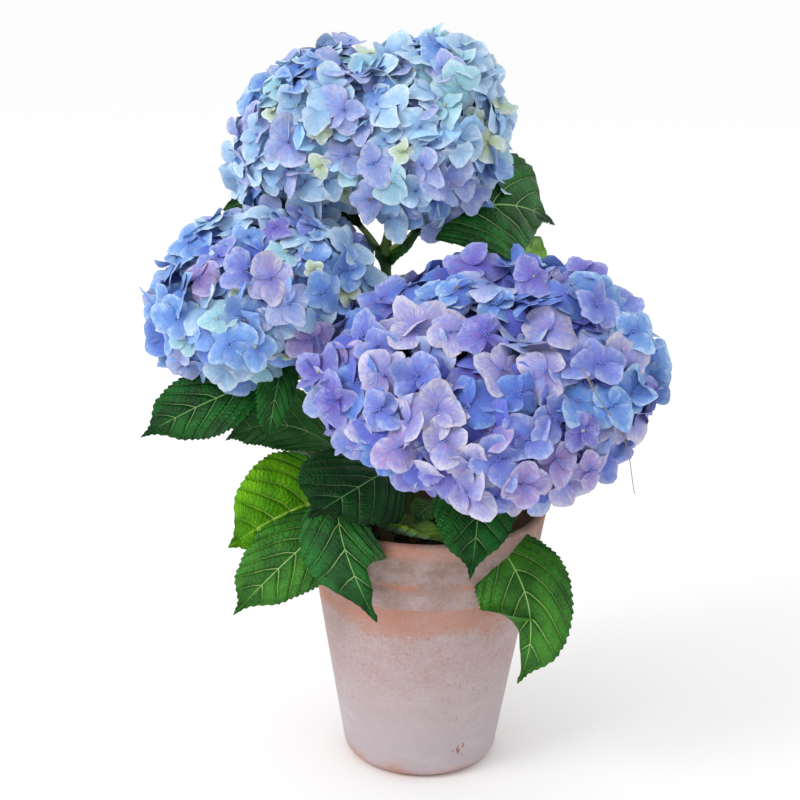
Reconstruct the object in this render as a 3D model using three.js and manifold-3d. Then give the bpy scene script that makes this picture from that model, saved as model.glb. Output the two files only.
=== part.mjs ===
// A mophead hydrangea in a clay pot: three flower stems rise from the potting soil, carry opposite
// leaves and end in large rounded flower heads. Millimetres, +Z up, origin under the pot's base.
import * as THREE from "three";
import { mergeVertices } from "three/addons/utils/BufferGeometryUtils.js";
import Module from "manifold-3d";

const wasm = await Module();
wasm.setup();

// ---- Driving dimensions ----

const clearance = 0.3; // between neighbouring solids

const pot = {
  height: 198,
  rimRadius: 90,
  rimEdge: 2.5, // rounding of the lip
  wall: 8,
  collarHeight: 51,
  collarStep: 2.8, // how far the collar stands proud of the body
  shoulderRadius: 81.3, // body, just under the collar
  heelRadius: 58.5, // body, where it turns in to the foot
  footRadius: 47,
  footHeight: 9,
  floor: 13,
  sides: 36,
};

const soil = { level: 160, mound: 5, sides: 32 };

// Each stem is one limb through these places, tapering from radius `foot` to radius `tip`.
const stems = {
  stem_middle: {
    foot: 6.5, tip: 3.6,
    through: [[-6, 8, 160], [-16, 12, 270], [-32, 15, 386], [-20, 16, 425]],
  },
  stem_left: {
    foot: 5.5, tip: 3.2,
    through: [[-24, 0, 160], [-50, -6, 235], [-88, -13, 296], [-112, -16, 335]],
  },
  stem_right: {
    foot: 6, tip: 3.4,
    through: [[15, -2, 160], [24, -16, 215], [33, -50, 262], [38, -80, 300]],
  },
};
const stemSides = 8;
const stemSteps = 8;

// Each flower head is a dome: radii across, front to back, above and below its middle, leaning
// `lean` degrees towards the compass heading `towards` (0 is +X, 90 is +Y).
const heads = {
  head_right: {
    middle: [41, -92, 318], across: 116, deep: 103, above: 66, below: 60,
    lean: 32, towards: 262, seed: 1,
  },
  head_left: {
    middle: [-118, -18, 351], across: 85, deep: 69, above: 68, below: 56,
    lean: 20, towards: 217, seed: 2,
  },
  head_top_right: {
    middle: [-8, 16, 461], across: 61, deep: 62, above: 80, below: 62,
    lean: 12, towards: 28, seed: 3,
  },
  head_top_left: {
    middle: [-64, 28, 454], across: 83, deep: 60, above: 80, below: 44,
    lean: 14, towards: 174, seed: 4,
  },
};
const headDetail = 4;
const headBump = 0.035; // share of the radius by which a head's surface swells and sinks

// Each leaf leaves its stem at height `at` and ends at `tip`. Its midrib stands `arch` above the
// straight line between them and `sway` to the left of it. `roll` turns the blade about its midrib,
// `twist` turns the tip further, and the stalk takes the share `stalk` of the length.
const leaves = {
  leaf_top_right: {
    stem: "stem_middle", at: 381, tip: [92, 57, 397], stalk: 0.17,
    arch: 31, sway: -36, width: 108, roll: 37, twist: 14,
  },
  leaf_top_left: {
    stem: "stem_middle", at: 376, tip: [-153, 54, 404], stalk: 0.3,
    arch: 17, sway: -6, width: 66, roll: -24, twist: 0,
  },
  leaf_young: {
    stem: "stem_middle", at: 322, tip: [86, 60, 380], stalk: 0.25,
    arch: 14, sway: 0, width: 50, roll: 35, twist: 0,
  },
  leaf_left_far: {
    stem: "stem_left", at: 302, tip: [-200, -51, 261], stalk: 0.15,
    arch: 8, sway: 9, width: 57, roll: -31, twist: -23,
  },
  leaf_left_hanging: {
    stem: "stem_left", at: 318, tip: [-109, -86, 268], stalk: 0.12,
    arch: 12, sway: 2, width: 29, roll: 4, twist: 3,
  },
  leaf_left_middle: {
    stem: "stem_left", at: 222, tip: [-142, -42, 257], stalk: 0.14,
    arch: 14, sway: -31, width: 48, roll: -30, twist: -19,
  },
  leaf_low_left_bright: {
    stem: "stem_left", at: 208, tip: [-139, -62, 184], stalk: 0.2,
    arch: 8, sway: -2, width: 87, roll: -65, twist: -8,
  },
  leaf_low_left: {
    stem: "stem_left", at: 206, tip: [-135, -78, 135], stalk: 0.25,
    arch: 28, sway: 12, width: 62, roll: -30, twist: -15,
  },
  leaf_front_dark: {
    stem: "stem_middle", at: 226, tip: [-83, -103, 223], stalk: 0.22,
    arch: 12, sway: 12, width: 73, roll: -36, twist: 10,
  },
  leaf_front_left: {
    stem: "stem_middle", at: 205, tip: [-36, -112, 150], stalk: 0.3,
    arch: 46, sway: -31, width: 62, roll: 5, twist: 10,
  },
  leaf_front_right: {
    stem: "stem_right", at: 200, tip: [29, -119, 188], stalk: 0.2,
    arch: 36, sway: 9, width: 62, roll: 11, twist: 4,
  },
  leaf_right_low: {
    stem: "stem_right", at: 205, tip: [66, -94, 94], stalk: 0.32,
    arch: 50, sway: 5, width: 73, roll: 18, twist: 34,
  },
  leaf_rim: {
    stem: "stem_left", at: 184, tip: [9, -76, 192], stalk: 0.3,
    arch: 14, sway: 8, width: 34, roll: 30, twist: 30,
  },
  leaf_inner: {
    stem: "stem_right", at: 196, tip: [-8, -52, 202], stalk: 0.3,
    arch: 6, sway: -4, width: 24, roll: -20, twist: 0,
  },
  leaf_back_left: {
    stem: "stem_left", at: 196, tip: [-84, 98, 172], stalk: 0.25,
    arch: 34, sway: 0, width: 78, roll: 8, twist: 12,
  },
  leaf_back_low: {
    stem: "stem_middle", at: 214, tip: [-4, 142, 184], stalk: 0.25,
    arch: 34, sway: 6, width: 82, roll: -6, twist: -10,
  },
  leaf_back_right: {
    stem: "stem_right", at: 206, tip: [92, 92, 186], stalk: 0.25,
    arch: 30, sway: -6, width: 80, roll: -8, twist: 10,
  },
  leaf_side_right: {
    stem: "stem_right", at: 226, tip: [138, 24, 236], stalk: 0.25,
    arch: 20, sway: 8, width: 74, roll: 10, twist: -8,
  },
  leaf_back_middle: {
    stem: "stem_middle", at: 268, tip: [44, 128, 270], stalk: 0.22,
    arch: 30, sway: 4, width: 78, roll: 6, twist: 8,
  },
  leaf_back_side: {
    stem: "stem_left", at: 280, tip: [-104, 90, 322], stalk: 0.22,
    arch: 18, sway: -6, width: 70, roll: -10, twist: 0,
  },
  leaf_back_rear: {
    stem: "stem_left", at: 296, tip: [-62, 96, 286], stalk: 0.22,
    arch: 20, sway: 8, width: 72, roll: 8, twist: 6,
  },
  leaf_back_low_left: {
    stem: "stem_left", at: 214, tip: [-122, 62, 166], stalk: 0.25,
    arch: 26, sway: 0, width: 70, roll: -8, twist: 8,
  },
  leaf_side_low_right: {
    stem: "stem_right", at: 206, tip: [116, 50, 196], stalk: 0.25,
    arch: 26, sway: 0, width: 62, roll: 6, twist: 8,
  },
  leaf_back_far_right: {
    stem: "stem_right", at: 246, tip: [122, 70, 272], stalk: 0.25,
    arch: 20, sway: 0, width: 74, roll: -6, twist: 0,
  },
  leaf_back_top: {
    stem: "stem_middle", at: 384, tip: [6, 124, 408], stalk: 0.22,
    arch: 14, sway: 0, width: 70, roll: 0, twist: 10,
  },
  leaf_back_high: {
    stem: "stem_middle", at: 334, tip: [-52, 120, 332], stalk: 0.22,
    arch: 18, sway: 0, width: 72, roll: 6, twist: -10,
  },
};
const leafSteps = 7;
const leafLanes = 4;
const bladeThickness = 1.6;
const stalkRadius = 1.8;
const widestAt = 0.42; // share of the blade's length
const marginDroop = 0.1; // how far the blade's edges hang, as a share of the half width

// ---- Materials ----

const finishes = {
  clay: { color: 0xc9a193, roughness: 0.9, metalness: 0 },
  soil: { color: 0x2a201a, roughness: 1, metalness: 0 },
  stem: { color: 0x4f6a2c, roughness: 0.7, metalness: 0 },
  leaf: { color: 0x2f6b2a, roughness: 0.5, metalness: 0 },
  flower: { color: 0x93a6e0, roughness: 0.7, metalness: 0 },
};

function named(name, geometry, finish) {
  const mesh = new THREE.Mesh(geometry, new THREE.MeshStandardMaterial(finishes[finish]));
  mesh.name = name;
  return mesh;
}

// ---- Solids: joining and cutting ----

// A closed geometry as a solid that can be cut.
function solidOf(geometry) {
  const bare = geometry.clone();
  bare.deleteAttribute("normal");
  bare.deleteAttribute("uv");
  const merged = mergeVertices(bare, 1e-3);
  return new wasm.Manifold(
    new wasm.Mesh({
      numProp: 3,
      vertProperties: merged.attributes.position.array,
      triVerts: new Uint32Array(merged.index.array),
    }),
  );
}

function geometryOf(solid) {
  const mesh = solid.getMesh();
  return new THREE.BufferGeometry()
    .setAttribute("position", new THREE.BufferAttribute(mesh.vertProperties, 3))
    .setIndex(new THREE.BufferAttribute(mesh.triVerts, 1));
}

// The largest piece that is left of a solid once its neighbours are taken out of it.
function cutBy(geometry, neighbours) {
  let solid = solidOf(geometry);
  for (const neighbour of neighbours) solid = solid.subtract(solidOf(neighbour));
  const pieces = solid.decompose();
  pieces.sort((a, b) => b.volume() - a.volume());
  return geometryOf(pieces[0]);
}

// ---- Pot and soil ----

function lathe(profile, sides) {
  const points = profile.map(([radius, height]) => new THREE.Vector2(radius, height));
  return new THREE.LatheGeometry(points, sides).rotateX(Math.PI / 2);
}

const collarFoot = pot.height - pot.collarHeight;
const innerSlope = (pot.rimRadius - pot.heelRadius) / (pot.height - pot.footHeight);
const innerFoot = pot.heelRadius - pot.wall;
const innerRadiusAt = (height) => innerFoot + (height - pot.floor) * innerSlope;

function potGeometry(extra = 0) {
  const heel = [0.3, 0.6, 0.85].map((share) => [
    pot.footRadius + (pot.heelRadius - pot.footRadius) * Math.sin((share * Math.PI) / 2) + extra,
    pot.footHeight * (1 - Math.cos((share * Math.PI) / 2)),
  ]);
  return lathe(
    [
      [0, 0],
      [pot.footRadius + extra, 0],
      ...heel,
      [pot.heelRadius + extra, pot.footHeight],
      [pot.shoulderRadius + extra, collarFoot - extra],
      [pot.shoulderRadius + pot.collarStep + extra, collarFoot + pot.collarStep - extra],
      [pot.rimRadius + extra, pot.height - pot.rimEdge],
      [pot.rimRadius - pot.rimEdge, pot.height + extra],
      [innerRadiusAt(pot.height) + pot.rimEdge, pot.height + extra],
      [innerRadiusAt(pot.height - pot.rimEdge) - extra, pot.height - pot.rimEdge],
      [innerFoot - extra, pot.floor],
      [0, pot.floor],
    ],
    pot.sides,
  );
}

function soilGeometry() {
  const bottom = pot.floor + clearance;
  const inset = clearance + 1; // keeps the soil's flat sides inside the pot's
  return lathe(
    [
      [0, bottom],
      [innerFoot - inset, bottom],
      [innerRadiusAt(soil.level) - inset, soil.level],
      [innerRadiusAt(soil.level) * 0.5, soil.level + soil.mound * 0.7],
      [0, soil.level + soil.mound],
    ],
    soil.sides,
  );
}

// ---- Stems ----

const stemCurves = Object.fromEntries(
  Object.entries(stems).map(([name, stem]) => [
    name,
    new THREE.CatmullRomCurve3(stem.through.map((place) => new THREE.Vector3(...place))),
  ]),
);

// A cylinder bent along a curve, from radius `foot` to radius `tip`.
function limbGeometry(curve, foot, tip) {
  const limb = new THREE.CylinderGeometry(1, 1, 1, stemSides, stemSteps);
  const places = limb.attributes.position;
  const frames = curve.computeFrenetFrames(stemSteps, false);
  for (let i = 0; i < places.count; i++) {
    const share = places.getY(i) + 0.5;
    const step = Math.round(share * stemSteps);
    const radius = foot + (tip - foot) * share;
    const place = curve
      .getPointAt(share)
      .addScaledVector(frames.normals[step], -places.getX(i) * radius)
      .addScaledVector(frames.binormals[step], places.getZ(i) * radius);
    places.setXYZ(i, place.x, place.y, place.z);
  }
  return limb;
}

function stemGeometry(name, extra = 0) {
  const { foot, tip } = stems[name];
  return limbGeometry(stemCurves[name], foot + extra, tip + extra);
}

// The point of a stem's centre line at a height.
function stemPlace(name, height) {
  const curve = stemCurves[name];
  let low = 0;
  let high = 1;
  for (let i = 0; i < 30; i++) {
    const middle = (low + high) / 2;
    if (curve.getPoint(middle).z < height) low = middle;
    else high = middle;
  }
  return curve.getPoint(low);
}

// ---- Flower heads ----

// A level direction, from +X turned towards +Y.
function compass(degrees) {
  const angle = THREE.MathUtils.degToRad(degrees);
  return new THREE.Vector3(Math.cos(angle), Math.sin(angle), 0);
}

// A smooth, uneven value that differs from head to head.
function swell(direction, seed) {
  const { x, y, z } = direction;
  return (
    Math.sin(3.1 * x + 1.7 * seed) * Math.cos(2.9 * y - 2.3 * seed) +
    0.6 * Math.sin(5.3 * z + 4.1 * x + seed) +
    0.5 * Math.sin(6.7 * y - 3.7 * z + 2.1 * seed)
  );
}

function headGeometry(name, extra = 0) {
  const head = heads[name];
  const dome = new THREE.IcosahedronGeometry(1, headDetail);
  const places = dome.attributes.position;
  const tiltAxis = new THREE.Vector3(0, 0, 1).cross(compass(head.towards));
  const direction = new THREE.Vector3();
  for (let i = 0; i < places.count; i++) {
    direction.fromBufferAttribute(places, i);
    const grown = 1 + headBump * swell(direction, head.seed);
    const upright = direction.z > 0 ? head.above : head.below;
    direction.multiply(new THREE.Vector3(
      head.across * grown + extra,
      head.deep * grown + extra,
      upright * grown + extra,
    ));
    direction.applyAxisAngle(tiltAxis, THREE.MathUtils.degToRad(head.lean));
    places.setXYZ(i, ...direction.add(new THREE.Vector3(...head.middle)));
  }
  return dome;
}

// ---- Leaves ----

// Half the blade's width at a share of its length: rounded at the base, drawn out at the tip.
function bladeHalfWidth(share, width) {
  const power = Math.log(0.5) / Math.log(widestAt);
  const oval = Math.sin(Math.PI * share ** power) ** 0.8;
  return (width / 2) * oval * (1 - 0.3 * share ** 5);
}

// The leaf's midrib, and the level direction across it.
function leafLine(leaf) {
  const foot = stemPlace(leaf.stem, leaf.at);
  const tip = new THREE.Vector3(...leaf.tip);
  const chord = tip.clone().sub(foot);
  const heading = new THREE.Vector3(chord.x, chord.y, 0).normalize();
  const across = heading.clone().cross(new THREE.Vector3(0, 0, 1));
  const lift = across.clone().cross(chord).normalize();
  const bend = foot
    .clone()
    .lerp(tip, 0.46)
    .addScaledVector(lift, 2 * leaf.arch)
    .addScaledVector(across, -2 * leaf.sway);
  return { curve: new THREE.QuadraticBezierCurve3(foot, bend, tip), across };
}

function leafGeometry(name, extra = 0) {
  const leaf = leaves[name];
  const { curve, across } = leafLine(leaf);
  const blade = new THREE.BoxGeometry(2, 1, 2, leafLanes, leafSteps, 1);
  const places = blade.attributes.position;
  for (let i = 0; i < places.count; i++) {
    const lane = places.getX(i);
    const share = places.getY(i) + 0.5;
    const face = places.getZ(i);
    const onBlade = Math.max(0, (share - leaf.stalk) / (1 - leaf.stalk));
    const wide = Math.max(stalkRadius, bladeHalfWidth(onBlade, leaf.width)) + extra;
    const thick = (onBlade > 0 ? bladeThickness / 2 : stalkRadius) + extra;
    const ahead = curve.getTangentAt(share);
    const turn = THREE.MathUtils.degToRad(leaf.roll + leaf.twist * onBlade);
    const side = across.clone().applyAxisAngle(ahead, turn);
    const up = side.clone().cross(ahead).normalize();
    const droop = -marginDroop * lane * lane * wide;
    const place = curve
      .getPointAt(share)
      .addScaledVector(side, lane * wide)
      .addScaledVector(up, droop + face * thick);
    places.setXYZ(i, place.x, place.y, place.z);
  }
  return blade;
}

// ---- The plant ----

const plant = new THREE.Group();
plant.add(named("clay_pot", potGeometry(), "clay"));

const headNames = Object.keys(heads);
const stemNames = Object.keys(stems);

// Heads give way to the ones before them, and stems end where they enter a head.
const grownHeads = headNames.map((name) => headGeometry(name, clearance));
headNames.forEach((name, i) => {
  plant.add(named(name, cutBy(headGeometry(name), grownHeads.slice(0, i)), "flower"));
});
const grownStems = stemNames.map((name) => stemGeometry(name, clearance));
stemNames.forEach((name, i) => {
  plant.add(named(name, cutBy(stemGeometry(name), [...grownHeads, ...grownStems.slice(0, i)]), "stem"));
});
plant.add(named("potting_soil", cutBy(soilGeometry(), grownStems), "soil"));

// Leaves give way to everything that was placed before them.
const placed = [potGeometry(clearance), ...grownHeads, ...grownStems];
for (const name of Object.keys(leaves)) {
  plant.add(named(name, cutBy(leafGeometry(name), placed), "leaf"));
  placed.push(leafGeometry(name, clearance));
}

export default plant;
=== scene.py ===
import math

import bmesh
import bpy
import numpy as np
from mathutils import Matrix, Vector, noise


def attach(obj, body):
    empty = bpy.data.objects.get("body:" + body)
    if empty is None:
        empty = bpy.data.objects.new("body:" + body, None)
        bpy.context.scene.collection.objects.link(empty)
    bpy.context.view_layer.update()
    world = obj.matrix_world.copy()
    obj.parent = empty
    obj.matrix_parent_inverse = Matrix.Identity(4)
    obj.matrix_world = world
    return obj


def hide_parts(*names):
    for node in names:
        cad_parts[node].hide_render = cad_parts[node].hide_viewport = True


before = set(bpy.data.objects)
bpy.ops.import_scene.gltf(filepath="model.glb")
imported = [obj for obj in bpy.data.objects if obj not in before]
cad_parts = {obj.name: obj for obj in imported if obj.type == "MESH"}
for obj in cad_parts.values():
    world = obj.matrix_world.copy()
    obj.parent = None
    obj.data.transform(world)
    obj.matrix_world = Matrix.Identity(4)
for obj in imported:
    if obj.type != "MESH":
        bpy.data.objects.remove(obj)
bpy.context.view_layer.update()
print("frame loaded")

# Plans below are in millimetres, as the maker measured them. Meshes are in metres.
mm = 0.001


def hexColour(code):
    channels = [int(code[i:i + 2], 16) / 255 for i in (0, 2, 4)]
    return (*[c / 12.92 if c < 0.04045 else ((c + 0.055) / 1.055) ** 2.4 for c in channels], 1.0)


def addNode(tree, kind, **settings):
    node = tree.nodes.new(kind)
    for key, value in settings.items():
        setattr(node, key, value)
    return node


# Links a socket to another one, or sets it to a plain value.
def feed(socket, value):
    if isinstance(value, bpy.types.NodeSocket):
        socket.id_data.links.new(value, socket)
    elif value is not None:
        socket.default_value = value


# A node in the same tree as the sockets given, with its inputs fed in order. None leaves one alone.
def fedNode(kind, values, **settings):
    tree = next(v.id_data for v in values if isinstance(v, bpy.types.NodeSocket))
    node = addNode(tree, kind, **settings)
    for socket, value in zip(node.inputs, values):
        feed(socket, value)
    return node


def maths(operation, *values, clamp=False):
    return fedNode("ShaderNodeMath", values, operation=operation, use_clamp=clamp).outputs[0]


def plus(first, *others):
    for other in others:
        first = maths("ADD", first, other)
    return first


def minus(first, second):
    return maths("SUBTRACT", first, second)


def times(first, *others):
    for other in others:
        first = maths("MULTIPLY", first, other)
    return first


def distance(x, y):
    return maths("SQRT", plus(times(x, x), times(y, y)))


# How far a value lies from the nearest whole number.
def offWhole(value):
    return minus(0.5, maths("ABSOLUTE", minus(maths("FRACT", value), 0.5)))


# A noise of 0 to 1, moved to swing this much about 0.
def swing(value, amount):
    return times(minus(value, 0.5), amount)


def vectorMaths(operation, *values):
    return fedNode("ShaderNodeVectorMath", values, operation=operation).outputs


def scaled(vector, scale):
    return vectorMaths("SCALE", vector, None, None, scale)[0]


def ramp(value, low, high, bottom=0.0, top=1.0):
    values = (value, low, high, bottom, top)
    return fedNode("ShaderNodeMapRange", values, interpolation_type="SMOOTHSTEP").outputs[0]


def mixed(share, first, second, mode="MIX"):
    values = (share, None, None, None, None, None, first, second)
    return fedNode("ShaderNodeMix", values, data_type="RGBA", blend_type=mode).outputs[2]


def cloud(vector, scale, detail=3.0, roughness=0.5):
    return fedNode("ShaderNodeTexNoise", (vector, None, scale, detail, roughness)).outputs["Fac"]


def stretched(vector, scale):
    return fedNode("ShaderNodeMapping", (vector, None, None, scale)).outputs[0]


def split(vector):
    return fedNode("ShaderNodeSeparateXYZ", [vector]).outputs[:3]


def combined(x, y, z):
    return fedNode("ShaderNodeCombineXYZ", (x, y, z)).outputs[0]


# A shader group: its sockets are made here, and what it does is drawn by the caller.
def newGroup(name, takes, gives):
    tree = bpy.data.node_groups.new(name, "ShaderNodeTree")
    kinds = {"v": "NodeSocketVector", "c": "NodeSocketColor", "f": "NodeSocketFloat"}
    for way, sockets in (("INPUT", takes), ("OUTPUT", gives)):
        for label, kind in sockets.items():
            tree.interface.new_socket(name=label, in_out=way, socket_type=kinds[kind])
    given, result = addNode(tree, "NodeGroupInput").outputs, addNode(tree, "NodeGroupOutput").inputs
    return tree, given, result


def useGroup(tree, group, **values):
    node = addNode(tree, "ShaderNodeGroup", node_tree=group)
    for label, value in values.items():
        feed(node.inputs[label], value)
    return node.outputs


def newMaterial(name, roughness):
    material = bpy.data.materials.new(name)
    material.use_nodes = True
    tree = material.node_tree
    shader = tree.nodes["Principled BSDF"].inputs
    shader["Roughness"].default_value = roughness
    return material, tree, shader


def plainMaterial(name, code, roughness):
    material, _, shader = newMaterial(name, roughness)
    shader["Base Color"].default_value = hexColour(code)
    return material


def addBump(tree, shader, height, depth):
    bump = addNode(tree, "ShaderNodeBump")
    bump.inputs["Strength"].default_value = 1.0
    bump.inputs["Distance"].default_value = depth
    feed(bump.inputs["Height"], height)
    feed(shader["Normal"], bump.outputs[0])


def ownMap(tree):
    return addNode(tree, "ShaderNodeUVMap", uv_map="OFBake").outputs[0]


def ownPlace(tree):
    return addNode(tree, "ShaderNodeTexCoord").outputs["Object"]


def addPiece(name, mesh, slot, *replaced):
    piece = bpy.data.objects.new(name, mesh)
    bpy.context.scene.collection.objects.link(piece)
    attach(piece, "root")
    if replaced:
        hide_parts(*replaced)
    return piece


def meshOf(name, bm, *materials):
    mesh = bpy.data.meshes.new(name)
    bm.to_mesh(mesh)
    bm.free()
    for material in materials:
        mesh.materials.append(material)
    mesh.shade_smooth()
    return mesh


# The points, corners and face sizes of a small shape that is laid out many times.
def patternOf(bm):
    bm.verts.index_update()
    points = np.array([v.co for v in bm.verts])
    corners = np.array([v.index for f in bm.faces for v in f.verts])
    sizes = np.array([len(f.verts) for f in bm.faces])
    bm.free()
    return points, corners, sizes


# One mesh from many copies. Each batch is (places of its copies, corners, face sizes, slot of
# each copy, map of each corner or None).
def joinedMesh(name, batches, materials):
    places, corners, sizes, slots, maps = [], [], [], [], []
    first = 0
    for copies, around, counts, worn, chart in batches:
        amount, each = copies.shape[:2]
        places.append(copies.reshape(-1, 3))
        corners.append((around[None] + each * np.arange(amount)[:, None]).ravel() + first)
        sizes.append(np.tile(counts, amount))
        slots.append(np.repeat(worn, len(counts)))
        if chart is not None:
            maps.append(chart.reshape(-1, 2))
        first += amount * each
    places, corners, sizes, slots = map(np.concatenate, (places, corners, sizes, slots))
    mesh = bpy.data.meshes.new(name)
    mesh.vertices.add(len(places))
    mesh.vertices.foreach_set("co", places.astype(np.float32).ravel())
    mesh.loops.add(len(corners))
    mesh.loops.foreach_set("vertex_index", corners.astype(np.int32))
    mesh.polygons.add(len(sizes))
    mesh.polygons.foreach_set("loop_start", (np.cumsum(sizes) - sizes).astype(np.int32))
    for material in materials:
        mesh.materials.append(material)
    mesh.polygons.foreach_set("material_index", slots.astype(np.int32))
    if maps:
        layer = mesh.uv_layers.new(name="OFBake")
        layer.uv.foreach_set("vector", np.concatenate(maps).astype(np.float32).ravel())
    mesh.update(calc_edges=True)
    mesh.shade_smooth()
    return mesh


def unit(vectors):
    return vectors / np.linalg.norm(vectors, axis=-1, keepdims=True)


def smoothStep(low, high, value):
    t = np.clip((value - low) / (high - low), 0, 1)
    return t * t * (3 - 2 * t)


def rotated(first, second, angle):
    return first * np.cos(angle) - second * np.sin(angle), first * np.sin(angle) + second * np.cos(angle)


# Bends a straight length into an arc that turns by this angle over one unit.
def arched(length, angle):
    angle = np.where(np.abs(angle) < 1e-3, 1e-3, angle)
    return np.sin(angle * length) / angle, (1 - np.cos(angle * length)) / angle


shot = {
    "place": (-20, -1045, 586),
    "lens": 67.5,
    "tilt": 16.5,  # degrees below level
    "roll": 1.1,
}
studio = {
    "floorRadius": 30.0, "floorGap": 0.0002,
    "floorColour": "fafafa",
    "above": 1.10, "level": 0.74,  # strength of the light from overhead and from the sides
    "keyPlace": (-1.5, -1.0, 1.5),
    "keyAim": (0.0, 0.0, 0.3),
    "keySize": 1.0,
    "keyPower": 20.0,
}


def setCamera():
    data = bpy.data.cameras.new("camera")
    data.lens = shot["lens"]
    data.sensor_width = 36
    camera = bpy.data.objects.new("camera", data)
    bpy.context.scene.collection.objects.link(camera)
    tilt = Matrix.Rotation(math.radians(90 - shot["tilt"]), 4, "X")
    roll = Matrix.Rotation(math.radians(shot["roll"]), 4, "Z")
    camera.matrix_world = Matrix.Translation(Vector(shot["place"]) * mm) @ tilt @ roll
    bpy.context.scene.camera = camera


def setStudio():
    scene = bpy.context.scene
    scene.view_settings.view_transform = "Standard"
    world = bpy.data.worlds.new("studio")
    scene.world = world
    world.use_nodes = True
    tree = world.node_tree
    soft = tree.nodes["Background"]
    soft.inputs["Color"].default_value = (1, 1, 1, 1)
    height = split(addNode(tree, "ShaderNodeTexCoord").outputs["Generated"])[2]
    dome = ramp(height, 0.0, 0.8, studio["level"], studio["above"])
    seen = addNode(tree, "ShaderNodeLightPath").outputs["Is Camera Ray"]
    feed(soft.inputs["Strength"], maths("MAXIMUM", dome, seen))

    key = bpy.data.lights.new("key", "AREA")
    key.size = studio["keySize"]
    key.energy = studio["keyPower"]
    lamp = bpy.data.objects.new("key", key)
    scene.collection.objects.link(lamp)
    lamp.location = studio["keyPlace"]
    aim = Vector(studio["keyAim"]) - lamp.location
    lamp.rotation_euler = aim.to_track_quat("-Z", "Y").to_euler()

    bm = bmesh.new()
    bmesh.ops.create_circle(bm, cap_ends=True, radius=studio["floorRadius"], segments=64)
    pale = plainMaterial("paleFloor", studio["floorColour"], 0.9)
    floor = bpy.data.objects.new("floor", meshOf("floor", bm, pale))
    scene.collection.objects.link(floor)
    floor.location.z = -studio["floorGap"]


setCamera()
setStudio()
print("camera, floor and light set")


# Fine mineral grain for clay, soil and bark.
grainGroup, given, result = newGroup("grain", {"Vector": "v", "Size": "f"}, {"Grain": "f", "Specks": "f"})
sized = scaled(given["Vector"], given["Size"])
feed(result["Grain"], cloud(sized, 1.0, 6.0, 0.65))
feed(result["Specks"], ramp(cloud(sized, 0.6, 1.0), 0.68, 0.76))


clayPot = {
    "height": 198, "rim": 90, "wall": 8, "collarFoot": 147, "collarStep": 2.8,
    "shoulder": 81.3, "heel": 58.5, "heelHeight": 9, "foot": 47, "floor": 13,
    "ridge": 162,  # height of the soft ridge round the collar
    "steps": 128, "spacing": 3.5,
    "wobble": 0.35, "ridges": 0.10,  # how far the thrown wall strays from round
    "clay": "ab8375", "bloom": "b6abb0", "raw": "b67c62", "stain": "985a4e",
    # The grime colour is partly painted shade on the collar's top.
    # The inner colours are darker browns: damp clay with painted shade inside the pot.
    "inner": "7d5a4b", "innerDry": "936c5a", "grime": "82695c", "chalk": "c4babe",
    "bandFoot": 0.127, "stainPlace": (0.029, -0.057, 0.023),  # in metres, as its finish reads them
    "midWall": (0.0535, 0.1667),  # radius halfway through the wall at the ground, and how it widens
    "grain": 900.0, "relief": 0.00035,
}


def spun(profile, steps):
    bm = bmesh.new()
    line = [bm.verts.new((radius * mm, 0, height * mm)) for radius, height in profile]
    edges = [bm.edges.new(pair) for pair in zip(line, line[1:])]
    bmesh.ops.spin(
        bm, geom=line + edges, cent=(0, 0, 0), axis=(0, 0, 1), dvec=(0, 0, 0),
        angle=2 * math.pi, steps=steps, use_merge=True,
    )
    bmesh.ops.remove_doubles(bm, verts=bm.verts, dist=1e-6)
    bmesh.ops.recalc_face_normals(bm, faces=bm.faces)
    return bm


# The same line with more points, none further apart than the spacing.
def finer(profile, spacing):
    line = [profile[0]]
    for (r0, h0), (r1, h1) in zip(profile, profile[1:]):
        parts = max(1, math.ceil(math.hypot(r1 - r0, h1 - h0) / spacing))
        line += [(r0 + (r1 - r0) * i / parts, h0 + (h1 - h0) * i / parts) for i in range(1, parts + 1)]
    return line


def potProfile(p):
    top, foot, ridge = p["height"], p["collarFoot"], p["ridge"]
    slope = (p["rim"] - p["heel"]) / (top - p["heelHeight"])
    inside = p["heel"] - p["wall"]

    def bodyAt(h):
        return p["heel"] + (p["shoulder"] - p["heel"]) * (h - p["heelHeight"]) / (foot - p["heelHeight"])

    def collarAt(h):
        low = p["shoulder"] + p["collarStep"]
        return low + (p["rim"] - low) * (h - foot - p["collarStep"]) / (top - foot - p["collarStep"])

    turn = [(p["foot"] + (p["heel"] - p["foot"]) * math.sin(s * math.pi / 2),
             p["heelHeight"] * (1 - math.cos(s * math.pi / 2))) for s in (0.15, 0.3, 0.45, 0.6, 0.75, 0.9)]
    # Heights up the collar, and how far each stands out from a straight wall.
    collar = [(foot + 4, 0.3), (ridge - 5, 1.0), (ridge, 1.0), (ridge + 2.5, -0.5), (ridge + 4.5, -1.0),
              (ridge + 12, -0.9), (top - 8, -0.3), (top - 3, 0)]
    lip = [(0.7, top - 0.9), (2.2, top)]
    return [
        (0, 0), (p["foot"] - 1, 0), (p["foot"], 0.15), *turn, (p["heel"], p["heelHeight"]),
        (bodyAt(foot - 3), foot - 3), (bodyAt(foot) - 0.5, foot - 0.9), (bodyAt(foot) + 0.3, foot),
        (collarAt(foot) - 0.9, foot + 0.5), (collarAt(foot + 2) + 0.1, foot + 1.8),
        *[(collarAt(h) + out, h) for h, out in collar],
        *[(p["rim"] - inward, h) for inward, h in lip],
        *[(p["rim"] - p["wall"] + inward, h) for inward, h in reversed(lip)],
        (p["rim"] - p["wall"], top - 3),
        (inside + (foot - p["floor"]) * slope, foot), (inside, p["floor"]), (0, p["floor"]),
    ]


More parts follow.
